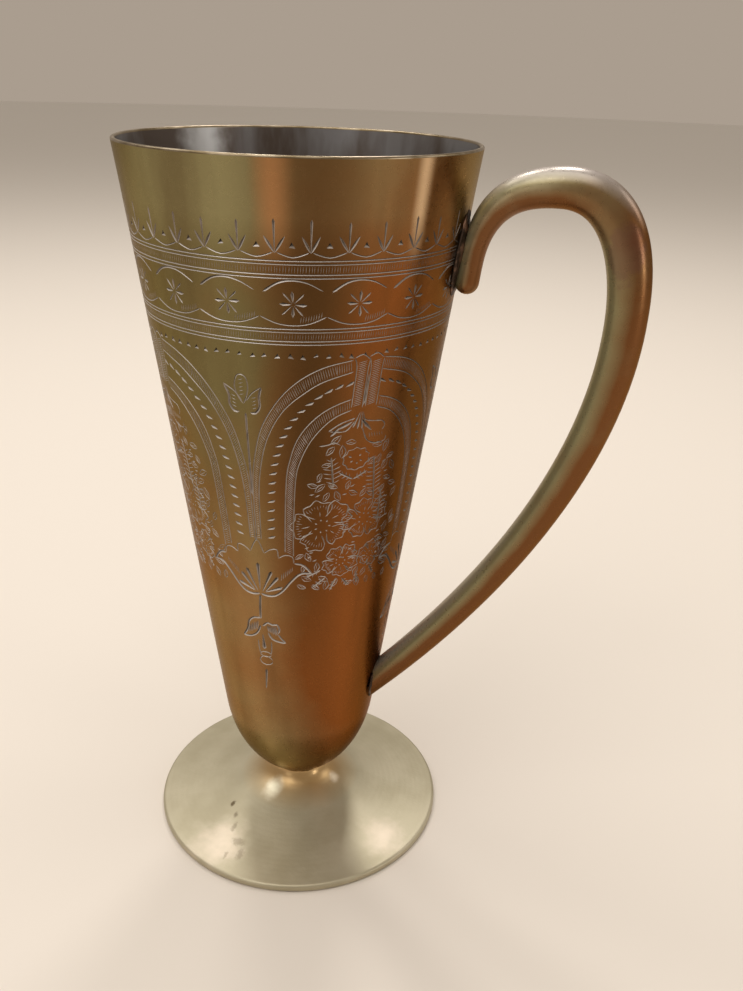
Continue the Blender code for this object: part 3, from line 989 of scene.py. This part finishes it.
def flare_point(share, inward):
    """Trumpet curve of the foot, from the upright neck (0) out to the lip (1), moved inward by the sheet."""
    neck_top = bowl_height(NECK_RADIUS) + NECK_SEAT
    bends = [
        Vector((NECK_RADIUS, neck_top)),
        Vector((NECK_RADIUS, neck_top - NECK_PULL)),
        Vector((FLARE_RADIUS, FLARE_HEIGHT)),
        Vector((FOOT_RADIUS - LIP_ROUND, LIP_HEIGHT)),
    ]
    point, along = bezier(bends, share)
    return point.x + inward * along.y, point.y - inward * along.x


def lip_points():
    """Round top edge, upright side, and round lower edge to the flat ring that the mug stands on."""
    points = []
    for start, middle in ((math.pi / 2, LIP_HEIGHT - LIP_ROUND), (0.0, LIP_ROUND)):
        for i in range(ARC_POINTS // 2):
            angle = start - math.pi / 2 * i / (ARC_POINTS // 2 - 1)
            radius = FOOT_RADIUS - LIP_ROUND * (1 - math.cos(angle))
            points.append((radius, middle + LIP_ROUND * math.sin(angle)))
    inner_radius = FOOT_RADIUS - LIP_ROUND - LIP_WIDTH
    points.append((inner_radius, 0.0))
    points.append((inner_radius, LIP_HEIGHT - FOOT_SHEET))
    return points


def foot_piece():
    """Spun foot with its hollow underside."""
    count = 4 * ARC_POINTS
    top = [flare_point(i / count, 0.0) for i in range(count)]
    lip = lip_points()
    crown_height = bowl_height(0.0) - FOOT_SHEET
    under = [flare_point(1 - i / count, FOOT_SHEET) for i in range(count + 1)]
    under = [p for p in under if p[0] < lip[-1][0] - FOOT_SHEET and p[1] < crown_height]
    seat = [(0.0, bowl_height(0.0) - NECK_SEAT)]
    foot = turned("spun_foot", seat + top + lip + under + [(under[-1][0], crown_height), (0.0, crown_height)])
    foot.data.materials.append(dull_foot_brass())
    return foot


def foot_solder_piece():
    """Hollow-faced fillet of solder in the corner between the neck and the cup's underside."""
    outer = NECK_RADIUS + FOOT_SOLDER_SPREAD
    neck_top = bowl_height(NECK_RADIUS)
    on_cup = Vector((outer, bowl_height(outer) + FOOT_SOLDER_SUNK))
    on_neck = Vector(flare_point(FOOT_SOLDER_DEPTH / (3 * NECK_PULL), FOOT_SOLDER_SUNK))
    corner = Vector((NECK_RADIUS - 0.5 * MM, neck_top))
    pull = Vector((NECK_RADIUS + 0.35 * MM, neck_top - 0.15 * MM))
    face = interpolate_bezier(on_cup, on_cup.lerp(pull, 0.8), on_neck.lerp(pull, 0.8), on_neck, ARC_POINTS)
    ring = turned("neck_solder", [tuple(p) for p in (corner, on_cup, *face[1:], corner)])
    lumps(ring, 0.4 * SOLDER_LUMP)
    ring.data.materials.append(bright_solder())
    return ring


def lumps(piece, height):
    """Uneven flow of solder: move each corner a little along its own direction."""
    for vertex in piece.data.vertices:
        place = vertex.co / SOLDER_LUMP_SIZE
        rise = noise.noise(place) + 0.5 * noise.noise(place * 2.3)
        vertex.co += vertex.normal * rise * height


def handle_path():
    """Centre line of the handle: up the wall, over the arch, down the back and in to the wall."""
    tip_height = RIM_HEIGHT - HOOK_TIP_DROP
    tip = Vector((wall_radius(tip_height) + TIP_THICKNESS / 2, 0.0, tip_height))
    up_wall = Vector((WALL_TAPER, 0.0, 1.0)).normalized()
    arch = Vector((RIM_RADIUS + ARCH_OUT, 0.0, RIM_HEIGHT - ARCH_DROP))
    outward = Vector((1.0, 0.0, 0.0))
    back = Vector((RIM_RADIUS + BACK_OUT, 0.0, RIM_HEIGHT - BACK_DROP))
    down = Vector((0.0, 0.0, -1.0))
    tail_height = RIM_HEIGHT - TAIL_DROP
    tail = Vector((wall_radius(tail_height), 0.0, tail_height))
    inward = Vector((-math.cos(TAIL_SLOPE), 0.0, -math.sin(TAIL_SLOPE)))
    spans = (
        (tip, tip + HOOK_PULL * up_wall, arch - ARCH_PULL_IN * outward, arch),
        (arch, arch + ARCH_PULL_OUT * outward, back - BACK_PULL_UP * down, back),
        (back, back + BACK_PULL_DOWN * down, tail - TAIL_PULL * inward, tail),
    )
    path = []
    for number, bends in enumerate(spans):
        points = interpolate_bezier(*bends, PATH_POINTS)
        places = [number + i / (PATH_POINTS - 1) for i in range(PATH_POINTS)]
        path += list(zip(places, points))[1 if path else 0:]
    path.append((3.0, tail + TAIL_OVERRUN * inward))
    return [(place, point + Vector((AXIS_X, 0.0, 0.0))) for place, point in path]


def section_at(place):
    """Thickness, breadth and flatness of the inner face at a place along the path, counted in spans."""
    stations = (
        (0.0, TIP_THICKNESS, HOOK_BREADTH, 0.0),
        (0.3, TIP_THICKNESS, HOOK_BREADTH, 0.0),
        (0.65, HOOK_THICKNESS, HOOK_THICKNESS, 0.0),
        (1.0, ARCH_THICKNESS, ARCH_THICKNESS, 0.0),
        (1.45, SHOULDER_THICKNESS, BACK_BREADTH, SHOULDER_FLATNESS),
        (2.0, BACK_THICKNESS, BACK_BREADTH, INNER_FLATNESS),
        (2.6, TAIL_THICKNESS, BACK_BREADTH, INNER_FLATNESS),
        (3.0, END_THICKNESS, END_BREADTH, INNER_FLATNESS),
    )
    at = 0
    while at < len(stations) - 2 and place > stations[at + 1][0]:
        at += 1
    before = Vector(stations[max(at - 1, 0)])
    start = Vector(stations[at])
    end = Vector(stations[at + 1])
    after = Vector(stations[min(at + 2, len(stations) - 1)])
    gap = end[0] - start[0]
    leave = (end - before) * gap / (end[0] - before[0]) / 3
    arrive = (after - start) * gap / (after[0] - start[0]) / 3
    section, _ = bezier([start, start + leave, end - arrive, end], (place - start[0]) / gap)
    return section[1], section[2], max(section[3], 0.0)


def section_ring(centre, outward, thickness, breadth, flatness):
    """Oval ring of points whose inner half is squared off by the flatness."""
    ring = []
    for i in range(SECTION_POINTS):
        angle = 2 * math.pi * (i + 0.5) / SECTION_POINTS
        out, side = math.cos(angle), math.sin(angle)
        power = 1.0 - flatness * min(1.0, max(0.0, -out * 3)) if out < 0 else 1.0
        out = math.copysign(abs(out) ** power, out) * thickness / 2
        side = math.copysign(abs(side) ** power, side) * breadth / 2
        ring.append(centre + out * outward + Vector((0.0, side, 0.0)))
    return ring


def handle_piece():
    """Loft of the handle's sections along its path, domed at the hook and cut off inside the wall."""
    path = handle_path()
    rings = []
    for i, (place, centre) in enumerate(path):
        direction = (path[min(i + 1, len(path) - 1)][1] - path[max(i - 1, 0)][1]).normalized()
        outward = Vector((-direction.z, 0.0, direction.x))
        thickness, breadth, flatness = section_at(place)
        if i == 0:
            pole = centre - TIP_THICKNESS / 2 * direction
            for step in range(1, DOME_RINGS):
                angle = math.pi / 2 * step / DOME_RINGS
                middle = centre - TIP_THICKNESS / 2 * math.cos(angle) * direction
                size = math.sin(angle)
                rings.append(section_ring(middle, outward, thickness * size, breadth * size, flatness))
        rings.append(section_ring(centre, outward, thickness, breadth, flatness))
    shape = bmesh.new()
    first = shape.verts.new(pole)
    rows = [[shape.verts.new(point) for point in ring] for ring in rings]
    for i in range(SECTION_POINTS):
        j = (i + 1) % SECTION_POINTS
        shape.faces.new((first, rows[0][i], rows[0][j]))
        for low, high in zip(rows, rows[1:]):
            shape.faces.new((low[i], high[i], high[j], low[j]))
    shape.faces.new(rows[-1])
    mesh = bpy.data.meshes.new("cast_handle")
    shape.to_mesh(mesh)
    shape.free()
    handle = bpy.data.objects.new("cast_handle", mesh)
    bpy.context.scene.collection.objects.link(handle)
    tail_height = RIM_HEIGHT - TAIL_DROP
    edit(handle)
    sunk = Vector((AXIS_X + wall_radius(tail_height) - TAIL_SUNK, 0.0, tail_height))
    bpy.ops.mesh.bisect(plane_co=sunk, plane_no=wall_normal(0.0), use_fill=True, clear_inner=True)
    close_up()
    bpy.ops.object.shade_smooth_by_angle(angle=CREASE_ANGLE)
    handle.data.materials.append(handled_brass())
    return handle


def solder_pad(name, height, half_breadth, half_length):
    """Lens of solder that lies on the cup's wall under the handle, uneven, and sunk into the wall."""
    bpy.ops.mesh.primitive_uv_sphere_add(segments=PAD_SEGMENTS, ring_count=PAD_RINGS, radius=1.0)
    pad = bpy.context.object
    pad.name = name
    edit(pad)
    bpy.ops.transform.resize(value=(SOLDER_THICKNESS, half_breadth, half_length))
    bpy.ops.transform.rotate(value=-WALL_LEAN, orient_axis="Y", center_override=(0.0, 0.0, 0.0))
    bpy.ops.transform.translate(value=(AXIS_X + wall_radius(height), 0.0, height))
    close_up()
    lumps(pad, SOLDER_LUMP)
    for vertex in pad.data.vertices:
        deepest = wall_radius(vertex.co.z) - SOLDER_SUNK
        out = Vector((vertex.co.x - AXIS_X, vertex.co.y))
        if out.length < deepest:
            out *= deepest / out.length
            vertex.co = Vector((AXIS_X + out.x, out.y, vertex.co.z))
    pad.data.shade_smooth()
    pad.data.materials.append(sooty_solder())
    return pad


def hook_solder_piece():
    """Solder under the hook, from just below its tip up the wall."""
    low = RIM_HEIGHT - HOOK_TIP_DROP - TIP_THICKNESS / 2 - HOOK_SOLDER_SPREAD / 2
    half_length = HOOK_SOLDER_LENGTH / 2
    return solder_pad("hook_fillet", low + half_length, HOOK_BREADTH / 2 + HOOK_SOLDER_SPREAD, half_length)


def tail_solder_piece():
    """Solder round the mitred end of the handle."""
    half_breadth = END_BREADTH / 2 + TAIL_SOLDER_SPREAD
    half_length = END_THICKNESS / 2 / math.cos(TAIL_SLOPE) + TAIL_SOLDER_SPREAD
    return solder_pad("tail_fillet", RIM_HEIGHT - TAIL_DROP, half_breadth, half_length)


# Finishes


def colour(code):
    """An sRGB hex colour as linear red, green, blue and opacity."""
    channels = [int(code[i:i + 2], 16) / 255 for i in (1, 3, 5)]
    linear = [c / 12.92 if c <= 0.04045 else ((c + 0.055) / 1.055) ** 2.4 for c in channels]
    return (*linear, 1.0)


def per(size):
    """Scale of a pattern whose features have a size in millimetres."""
    return 1.0 / (size * MM)


def fill_inputs(tree, made, inputs):
    """Set a node's inputs by name or number, or link them where the value is a node's output."""
    for key, value in inputs.items():
        if isinstance(value, bpy.types.NodeSocket):
            tree.links.new(value, made.inputs[key])
        else:
            made.inputs[key].default_value = value


def node(tree, kind, inputs=None, **settings):
    """Add a node with its settings and inputs."""
    made = tree.nodes.new("ShaderNode" + kind)
    for key, value in settings.items():
        setattr(made, key, value)
    fill_inputs(tree, made, inputs or {})
    return made


def new_finish(name):
    """A new material with its shader and the piece's own coordinates."""
    finish = bpy.data.materials.new(name)
    finish.use_nodes = True
    tree = finish.node_tree
    shader = tree.nodes["Principled BSDF"]
    place = node(tree, "TexCoord").outputs["Object"]
    return finish, tree, shader, place


def ranged(tree, value, low, high, bottom=0.0, top=1.0, ease="LINEAR"):
    """A value mapped from one range to another and held at both ends."""
    ends = {0: value, 1: low, 2: high, 3: bottom, 4: top}
    return node(tree, "MapRange", ends, interpolation_type=ease).outputs[0]


def eased(tree, value, low, high, bottom=0.0, top=1.0):
    """A value mapped from one range to another with soft ends."""
    return ranged(tree, value, low, high, bottom, top, "SMOOTHSTEP")


def mixed(tree, share, first, second):
    """A blend of two colours, each a hex code or a node's output."""
    ends = [colour(c) if isinstance(c, str) else c for c in (first, second)]
    return node(tree, "Mix", {0: share, 6: ends[0], 7: ends[1]}, data_type="RGBA").outputs[2]


def maths(tree, operation, first, second=0.0, clamped=False):
    """One or two values put through one operation."""
    return node(tree, "Math", {0: first, 1: second}, operation=operation, use_clamp=clamped).outputs[0]


def speckle(tree, place, size, detail=4.0):
    """Noise whose features have a size in millimetres."""
    return node(tree, "TexNoise", {"Vector": place, "Scale": per(size), "Detail": detail}).outputs["Fac"]


def stretched(tree, place, share):
    """Coordinates that draw a pattern out along the height."""
    return node(tree, "Mapping", {0: place, "Scale": (1.0, 1.0, share)}).outputs[0]


def height_of(tree, place):
    """Height above the ground, or how far a direction points up."""
    return node(tree, "SeparateXYZ", {0: place}).outputs["Z"]


def bearing_of(tree, place):
    """Angle round the cup, counted from the handle."""
    sides = node(tree, "SeparateXYZ", {0: place}).outputs
    from_axis = maths(tree, "SUBTRACT", sides["X"], AXIS_X)
    return maths(tree, "ARCTAN2", sides["Y"], from_axis)


def away_from(tree, bearing, middle):
    """How far one bearing is from another, on either side of it."""
    return maths(tree, "ABSOLUTE", maths(tree, "SUBTRACT", bearing, middle))


def turned_to(tree, facing, direction):
    """How far a surface is turned to a direction."""
    return node(tree, "VectorMath", {0: facing, 1: direction}, operation="DOT_PRODUCT").outputs["Value"]


def stain_and_light_patch(tree, place, centre, reach, grain=2.5, core=0.65):
    """How strongly an oval patch with a ragged edge, used for stains and for painted light, covers a place: 1
    in its core, 0 outside.
    """
    scale = [1.0 / r for r in reach]
    shift = [-c * k for c, k in zip(centre, scale)]
    inside = node(tree, "Mapping", {0: place, "Location": shift, "Scale": scale}).outputs[0]
    away = node(tree, "VectorMath", {0: inside}, operation="LENGTH").outputs["Value"]
    ragged = ranged(tree, speckle(tree, place, grain), 0.3, 0.7, -0.3, 0.3)
    return eased(tree, maths(tree, "ADD", away, ragged), 1.1, core)


def wall_painted_warmth(tree, place, height, collar):
    """How far the wall goes from olive to orange as a painted warm reflection: orange by the handle and low
    down, less so in the bowl and the collar, in random patches.
    """
    across = node(tree, "SeparateXYZ", {0: place}).outputs["X"]
    warmth = eased(tree, across, AXIS_X - 2 * MM, AXIS_X + 17 * MM, 0.0, 0.85)
    low = eased(tree, height, 150 * MM, 75 * MM, 0.0, 0.45)
    bowl = ranged(tree, height, 42 * MM, 18 * MM, 0.0, -0.45)
    cooler = ranged(tree, collar, 0.0, 1.0, 0.0, -0.3)
    for more in (low, bowl, cooler):
        warmth = maths(tree, "ADD", warmth, more)
    patchy = ranged(tree, speckle(tree, place, 30), 0.35, 0.65, -0.2, 0.2)
    return maths(tree, "ADD", warmth, patchy, clamped=True)


def wall_painted_bands(tree, place, bearing, height, collar):
    """How dark brown the wall is: a painted dark reflection band down its front, painted shade beside the
    handle, and upright streaks that are painted reflections.
    """
    streaks = ranged(tree, speckle(tree, stretched(tree, place, 0.04), 13, 3.0), 0.42, 0.66, 0.0, 0.45)
    off_band = away_from(tree, bearing, PAINTED_BAND_BEARING)
    band = eased(tree, off_band, PAINTED_BAND_HALF_WIDTH, 0.0, 0.0, 0.95)
    above_bowl = ranged(tree, height, 55 * MM, 115 * MM, 0.2, 1.0)
    fainter = ranged(tree, collar, 0.0, 1.0, 1.0, 0.75)
    front = maths(tree, "MULTIPLY", maths(tree, "MULTIPLY", band, above_bowl), fainter)
    # Painted shade on the wall beside the handle, between hook and tail
    beside = eased(tree, away_from(tree, bearing, 0.0), 1.0, 0.35, 0.0, 0.7)
    below_hook = ranged(tree, height, 162 * MM, 143 * MM)
    above_tail = ranged(tree, height, 65 * MM, 95 * MM)
    between = maths(tree, "MULTIPLY", below_hook, above_tail)
    under_handle = maths(tree, "MULTIPLY", beside, between)
    return maths(tree, "MAXIMUM", streaks, maths(tree, "MAXIMUM", front, under_handle))


def polished_wall_brass():
    """Spun brass sheet, polished long ago: olive away from the handle, orange by it and low down as a painted
    reflection, with painted dark bands, painted collar sheens and painted shade round the handle's ends.
    """
    finish, tree, shader, place = new_finish("polished_wall_brass")
    height = height_of(tree, place)
    bearing = bearing_of(tree, place)
    collar = ranged(tree, height, COLLAR_LOW, COLLAR_HIGH)
    ground = mixed(tree, ranged(tree, height, 110 * MM, 75 * MM), "#776c47", "#a08d62")
    tint = mixed(tree, collar, ground, "#918861")
    # Painted reflection: orange by the handle and low down
    tint = mixed(tree, wall_painted_warmth(tree, place, height, collar), tint, "#8e5428")
    # Painted reflections and painted shade: dark brown bands and streaks
    tint = mixed(tree, wall_painted_bands(tree, place, bearing, height, collar), tint, "#523a20")
    # Painted sheens: pale upright streaks on the collar
    for middle, half_width, strength, code in COLLAR_PAINTED_SHEENS:
        painted_sheen = eased(tree, away_from(tree, bearing, middle), half_width, 0.0, 0.0, strength)
        tint = mixed(tree, maths(tree, "MULTIPLY", painted_sheen, collar), tint, code)
    # Painted shade: the wall is darkened round the hook and round the tail end of the handle
    hook = stain_and_light_patch(tree, place, HOOK_PAINTED_SHADE, HOOK_PAINTED_SHADE_REACH)
    tail = stain_and_light_patch(tree, place, TAIL_PAINTED_SHADE, TAIL_PAINTED_SHADE_REACH)
    painted_joint_shade = maths(tree, "MULTIPLY", maths(tree, "MAXIMUM", hook, tail), 0.8)
    fill_inputs(tree, shader, {
        "Base Color": mixed(tree, painted_joint_shade, tint, "#33251a"),
        "Roughness": ranged(tree, speckle(tree, place, 1.1, 5.0), 0.3, 0.7, 0.25, 0.36),
        "Metallic": 1.0,
        "Specular Tint": colour("#cfc3b6"),
    })
    return finish


def painted_light_cut():
    """Graver cuts: flanks that face up or left get a painted highlight, the other flanks painted shade, and
    cuts are darker where deep and near the handle.
    """
    finish, tree, shader, place = new_finish("painted_light_cut")
    facing = node(tree, "TexCoord").outputs["Normal"]
    # Painted highlight and painted shade: each flank is coloured by how it faces a light from up and left
    lit = turned_to(tree, facing, (-0.35, 0.0, 1.0))
    worn = ranged(tree, speckle(tree, place, 3.5), 0.45, 0.7)
    grey = mixed(tree, worn, "#95887f", "#6b5c4b")
    shaded = mixed(tree, ranged(tree, lit, -0.75, -0.25), "#33281e", grey)
    gleam = mixed(tree, ranged(tree, lit, -0.2, 0.4), shaded, "#c6bdb5")
    depth = node(tree, "Attribute", attribute_name="cut_depth").outputs["Fac"]
    deep = ranged(tree, depth, 0.1, 0.28, 0.0, 0.7)
    off_handle = away_from(tree, bearing_of(tree, place), 0.0)
    darker_near_handle = ranged(tree, off_handle, 0.85, 0.45, 0.0, 0.65)
    dark = maths(tree, "MAXIMUM", deep, darker_near_handle)
    fill_inputs(tree, shader, {
        "Base Color": mixed(tree, dark, gleam, "#33281e"),
        "Metallic": 0.5,
        "Roughness": 0.42,
    })
    return finish


def rubbed_rim():
    """Brass edge of the rim, rubbed pale and bright by lips and cloths."""
    finish, tree, shader, place = new_finish("rubbed_rim")
    wear = ranged(tree, speckle(tree, place, 5), 0.4, 0.65)
    fill_inputs(tree, shader, {
        "Base Color": mixed(tree, wear, "#77684e", "#9d8f78"),
        "Metallic": 1.0,
        "Roughness": 0.3,
    })
    return finish


def wiped_tin():
    """Tin wiped on by hand inside the cup: blue-grey and fairly bright, brown where it has worn through, with
    a painted highlight in one tall patch.
    """
    finish, tree, shader, place = new_finish("wiped_tin")
    wiped = stretched(tree, place, 0.25)
    worn = ranged(tree, speckle(tree, wiped, 16, 5.0), 0.46, 0.6)
    tinned = mixed(tree, worn, "#7d7a79", "#554940")
    # Painted highlight: one tall pale patch on the lining
    painted_tin_highlight = stain_and_light_patch(tree, place, TIN_PAINTED_HIGHLIGHT, TIN_PAINTED_HIGHLIGHT_REACH, grain=9.0, core=0.2)
    fill_inputs(tree, shader, {
        "Base Color": mixed(tree, painted_tin_highlight, tinned, "#b9b7b4"),
        "Roughness": ranged(tree, speckle(tree, wiped, 8), 0.3, 0.7, 0.3, 0.48),
        "Metallic": 0.6,
    })
    return finish


def dull_foot_brass():
    """Spun brass of the foot, matt and bleached from wear, with faint turning rings, dark pits, painted
    highlights, and a neck tinted warm as a painted reflection of the cup.
    """
    finish, tree, shader, place = new_finish("dull_foot_brass")
    # Painted reflection of the cup: the neck is tinted orange-gold; it is also made smoother there
    neck = ranged(tree, height_of(tree, place), 6.2 * MM, 9.5 * MM, 0.0, 0.75)
    patch = ranged(tree, speckle(tree, place, 13, 5.0), 0.35, 0.65)
    tint = mixed(tree, neck, mixed(tree, patch, "#a59b80", "#b4aa90"), "#bf975c")
    # Painted highlights: soft pale spots on the disc and by the neck
    for out_x, out_y, height, reach, code in FOOT_PAINTED_HIGHLIGHTS:
        centre = (AXIS_X + out_x * MM, out_y * MM, height * MM)
        painted_foot_highlight = stain_and_light_patch(tree, place, centre, (reach * MM, reach * MM, FOOT_MARK_RISE), grain=6.0, core=0.0)
        tint = mixed(tree, painted_foot_highlight, tint, code)
    pits = 0.0
    for out_x, out_y, reach_x, reach_y, darkness in FOOT_PITS:
        centre = (AXIS_X + out_x * MM, out_y * MM, FOOT_PIT_HEIGHT)
        spot = stain_and_light_patch(tree, place, centre, (reach_x * MM, reach_y * MM, FOOT_MARK_RISE), grain=0.8, core=0.3)
        pits = maths(tree, "MAXIMUM", maths(tree, "MULTIPLY", spot, darkness), pits)
    centred = node(tree, "Mapping", {0: place, "Location": (-AXIS_X, 0.0, 0.0)}).outputs[0]
    turning = {"Vector": centred, "Scale": per(5), "Distortion": 0.6, "Detail": 2.0}
    rings = node(tree, "TexWave", turning, wave_type="RINGS", rings_direction="Z").outputs["Fac"]
    marks = node(tree, "Bump", {"Strength": 0.05, "Distance": 0.1 * MM, "Height": rings}).outputs[0]
    fine = speckle(tree, place, 0.9, 3.0)
    grain = {"Strength": 0.25, "Distance": 0.08 * MM, "Height": fine, "Normal": marks}
    fill_inputs(tree, shader, {
        "Base Color": mixed(tree, pits, tint, "#5a4a30"),
        "Roughness": ranged(tree, neck, 0.0, 0.75, 0.45, 0.3),
        "Normal": node(tree, "Bump", grain).outputs[0],
        "Metallic": 0.6,
    })
    return finish


def handled_brass():
    """Cast brass, satin from hands, coloured by facing: a painted highlight on top, olive inwards, a painted
    brown reflection below, and painted light on the hook.
    """
    finish, tree, shader, place = new_finish("handled_brass")
    facing = node(tree, "TexCoord").outputs["Normal"]
    # Painted reflection: faces turned outward and down, and the lower handle, are tinted brown
    lower_side = ranged(tree, turned_to(tree, facing, (0.8, 0.0, -0.6)), -0.5, 0.25)
    low = ranged(tree, height_of(tree, place), 120 * MM, 60 * MM, 0.0, 0.4)
    downward = maths(tree, "ADD", lower_side, maths(tree, "MULTIPLY", lower_side, low))
    patchy = ranged(tree, speckle(tree, place, 16), 0.35, 0.65, -0.15, 0.2)
    warmth = maths(tree, "ADD", downward, patchy, clamped=True)
    # Painted light: the hook is given a paler colour and less metal
    hook_painted_light = stain_and_light_patch(tree, place, HOOK_PAINTED_LIGHT, HOOK_PAINTED_LIGHT_REACH, grain=8.0, core=0.2)
    tint = mixed(tree, hook_painted_light, "#8b835f", "#b8ae8a")
    tint = mixed(tree, warmth, tint, "#744b2a")
    # Painted highlight: faces turned up are tinted pale
    painted_top_highlight = ranged(tree, height_of(tree, facing), 0.35, 0.9, 0.0, 0.85)
    tint = mixed(tree, painted_top_highlight, tint, "#bab1ac")
    mark = maths(tree, "MULTIPLY", stain_and_light_patch(tree, place, SHOULDER_STAIN, SHOULDER_STAIN_REACH), 0.4)
    polish = ranged(tree, lower_side, 0.0, 1.0, 0.45, 0.82)
    fill_inputs(tree, shader, {
        "Base Color": mixed(tree, mark, tint, "#6a4a42"),
        "Roughness": ranged(tree, speckle(tree, place, 1.4), 0.3, 0.7, 0.25, 0.36),
        "Metallic": node(tree, "Mix", {0: hook_painted_light, 2: polish, 3: 0.4}).outputs[0],
        "Specular Tint": colour("#cdb89c"),
    })
    return finish


def sooty_solder():
    """Solder burnt dark by the torch, with coppery beads."""
    finish, tree, shader, place = new_finish("sooty_solder")
    bead = ranged(tree, speckle(tree, place, 3, 3.0), 0.5, 0.66)
    fill_inputs(tree, shader, {
        "Base Color": mixed(tree, bead, "#3a2c22", "#8a6a56"),
        "Metallic": 0.8,
        "Roughness": 0.5,
    })
    return finish


def bright_solder():
    """Clean brazing in the corner above the foot, pale from polishing."""
    finish, tree, shader, place = new_finish("bright_solder")
    fill_inputs(tree, shader, {
        "Base Color": mixed(tree, speckle(tree, place, 3, 3.0), "#8a744a", "#b09a6c"),
        "Metallic": 1.0,
        "Roughness": 0.33,
    })
    return finish


def pale_floor():
    """Plain matt paper."""
    finish, tree, shader, _ = new_finish("pale_floor")
    fill_inputs(tree, shader, {"Base Color": colour("#d8ccbe"), "Roughness": 0.9})
    return finish


# Stage


def add_floor():
    """Plain floor that the mug stands on."""
    bpy.ops.mesh.primitive_circle_add(vertices=96, radius=FLOOR_RADIUS, fill_type="NGON")
    floor = bpy.context.object
    floor.name = "floor"
    floor.data.materials.append(pale_floor())


def add_lamp(name, place, size, power):
    """A soft lamp that only its light shows."""
    data = bpy.data.lights.new(name, "AREA")
    data.shape = "RECTANGLE"
    data.size, data.size_y = size
    data.energy = power
    lamp = bpy.data.objects.new(name, data)
    lamp.location = place
    lamp.rotation_euler = (Vector(LAMP_AIM) - Vector(place)).to_track_quat("-Z", "Y").to_euler()
    lamp.visible_camera = False
    bpy.context.scene.collection.objects.link(lamp)


def add_world():
    """Even pale air, shown darker to the eye and in the metal than it lights."""
    world = bpy.data.worlds.new("studio")
    bpy.context.scene.world = world
    world.use_nodes = True
    tree = world.node_tree
    path = node(tree, "LightPath").outputs
    seen = maths(tree, "MAXIMUM", path["Is Camera Ray"], path["Is Glossy Ray"])
    shown = maths(tree, "MAXIMUM", seen, path["Is Transmission Ray"])
    fill_inputs(tree, tree.nodes["Background"], {
        "Color": mixed(tree, shown, "#e6e1da", "#aa9d8f"),
        "Strength": ranged(tree, shown, 0.0, 1.0, 0.66, 1.0),
    })


def add_camera():
    """Camera at the photograph's point of view."""
    data = bpy.data.cameras.new("camera")
    data.lens = CAMERA_LENS
    data.sensor_width = 36.0
    data.clip_start = 0.01
    camera = bpy.data.objects.new("camera", data)
    turn = Matrix.Rotation(CAMERA_TURN, 4, "Z")
    tilt = Matrix.Rotation(CAMERA_TILT, 4, "X")
    roll = Matrix.Rotation(CAMERA_ROLL, 4, "Z")
    camera.matrix_world = Matrix.Translation(CAMERA_PLACE) @ turn @ tilt @ roll
    bpy.context.scene.collection.objects.link(camera)
    bpy.context.scene.camera = camera


cup = cup_piece()
foot = foot_piece()
neck_solder = foot_solder_piece()
handle = handle_piece()
hook_fillet = hook_solder_piece()
tail_fillet = tail_solder_piece()

for piece, node_name, slot in (
    (cup, "cup", "cup_brass"),
    (foot, "foot", "foot_brass"),
    (neck_solder, "foot_solder", "solder"),
    (handle, "handle", "handle_brass"),
    (hook_fillet, "hook_solder", "solder"),
    (tail_fillet, "tail_solder", "solder"),
):
    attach(piece, "root")
    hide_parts(node_name)

add_floor()
for name, place, size, power in LAMPS:
    add_lamp(name, place, size, power)
add_world()
add_camera()
bpy.context.scene.view_settings.view_transform = "Standard"
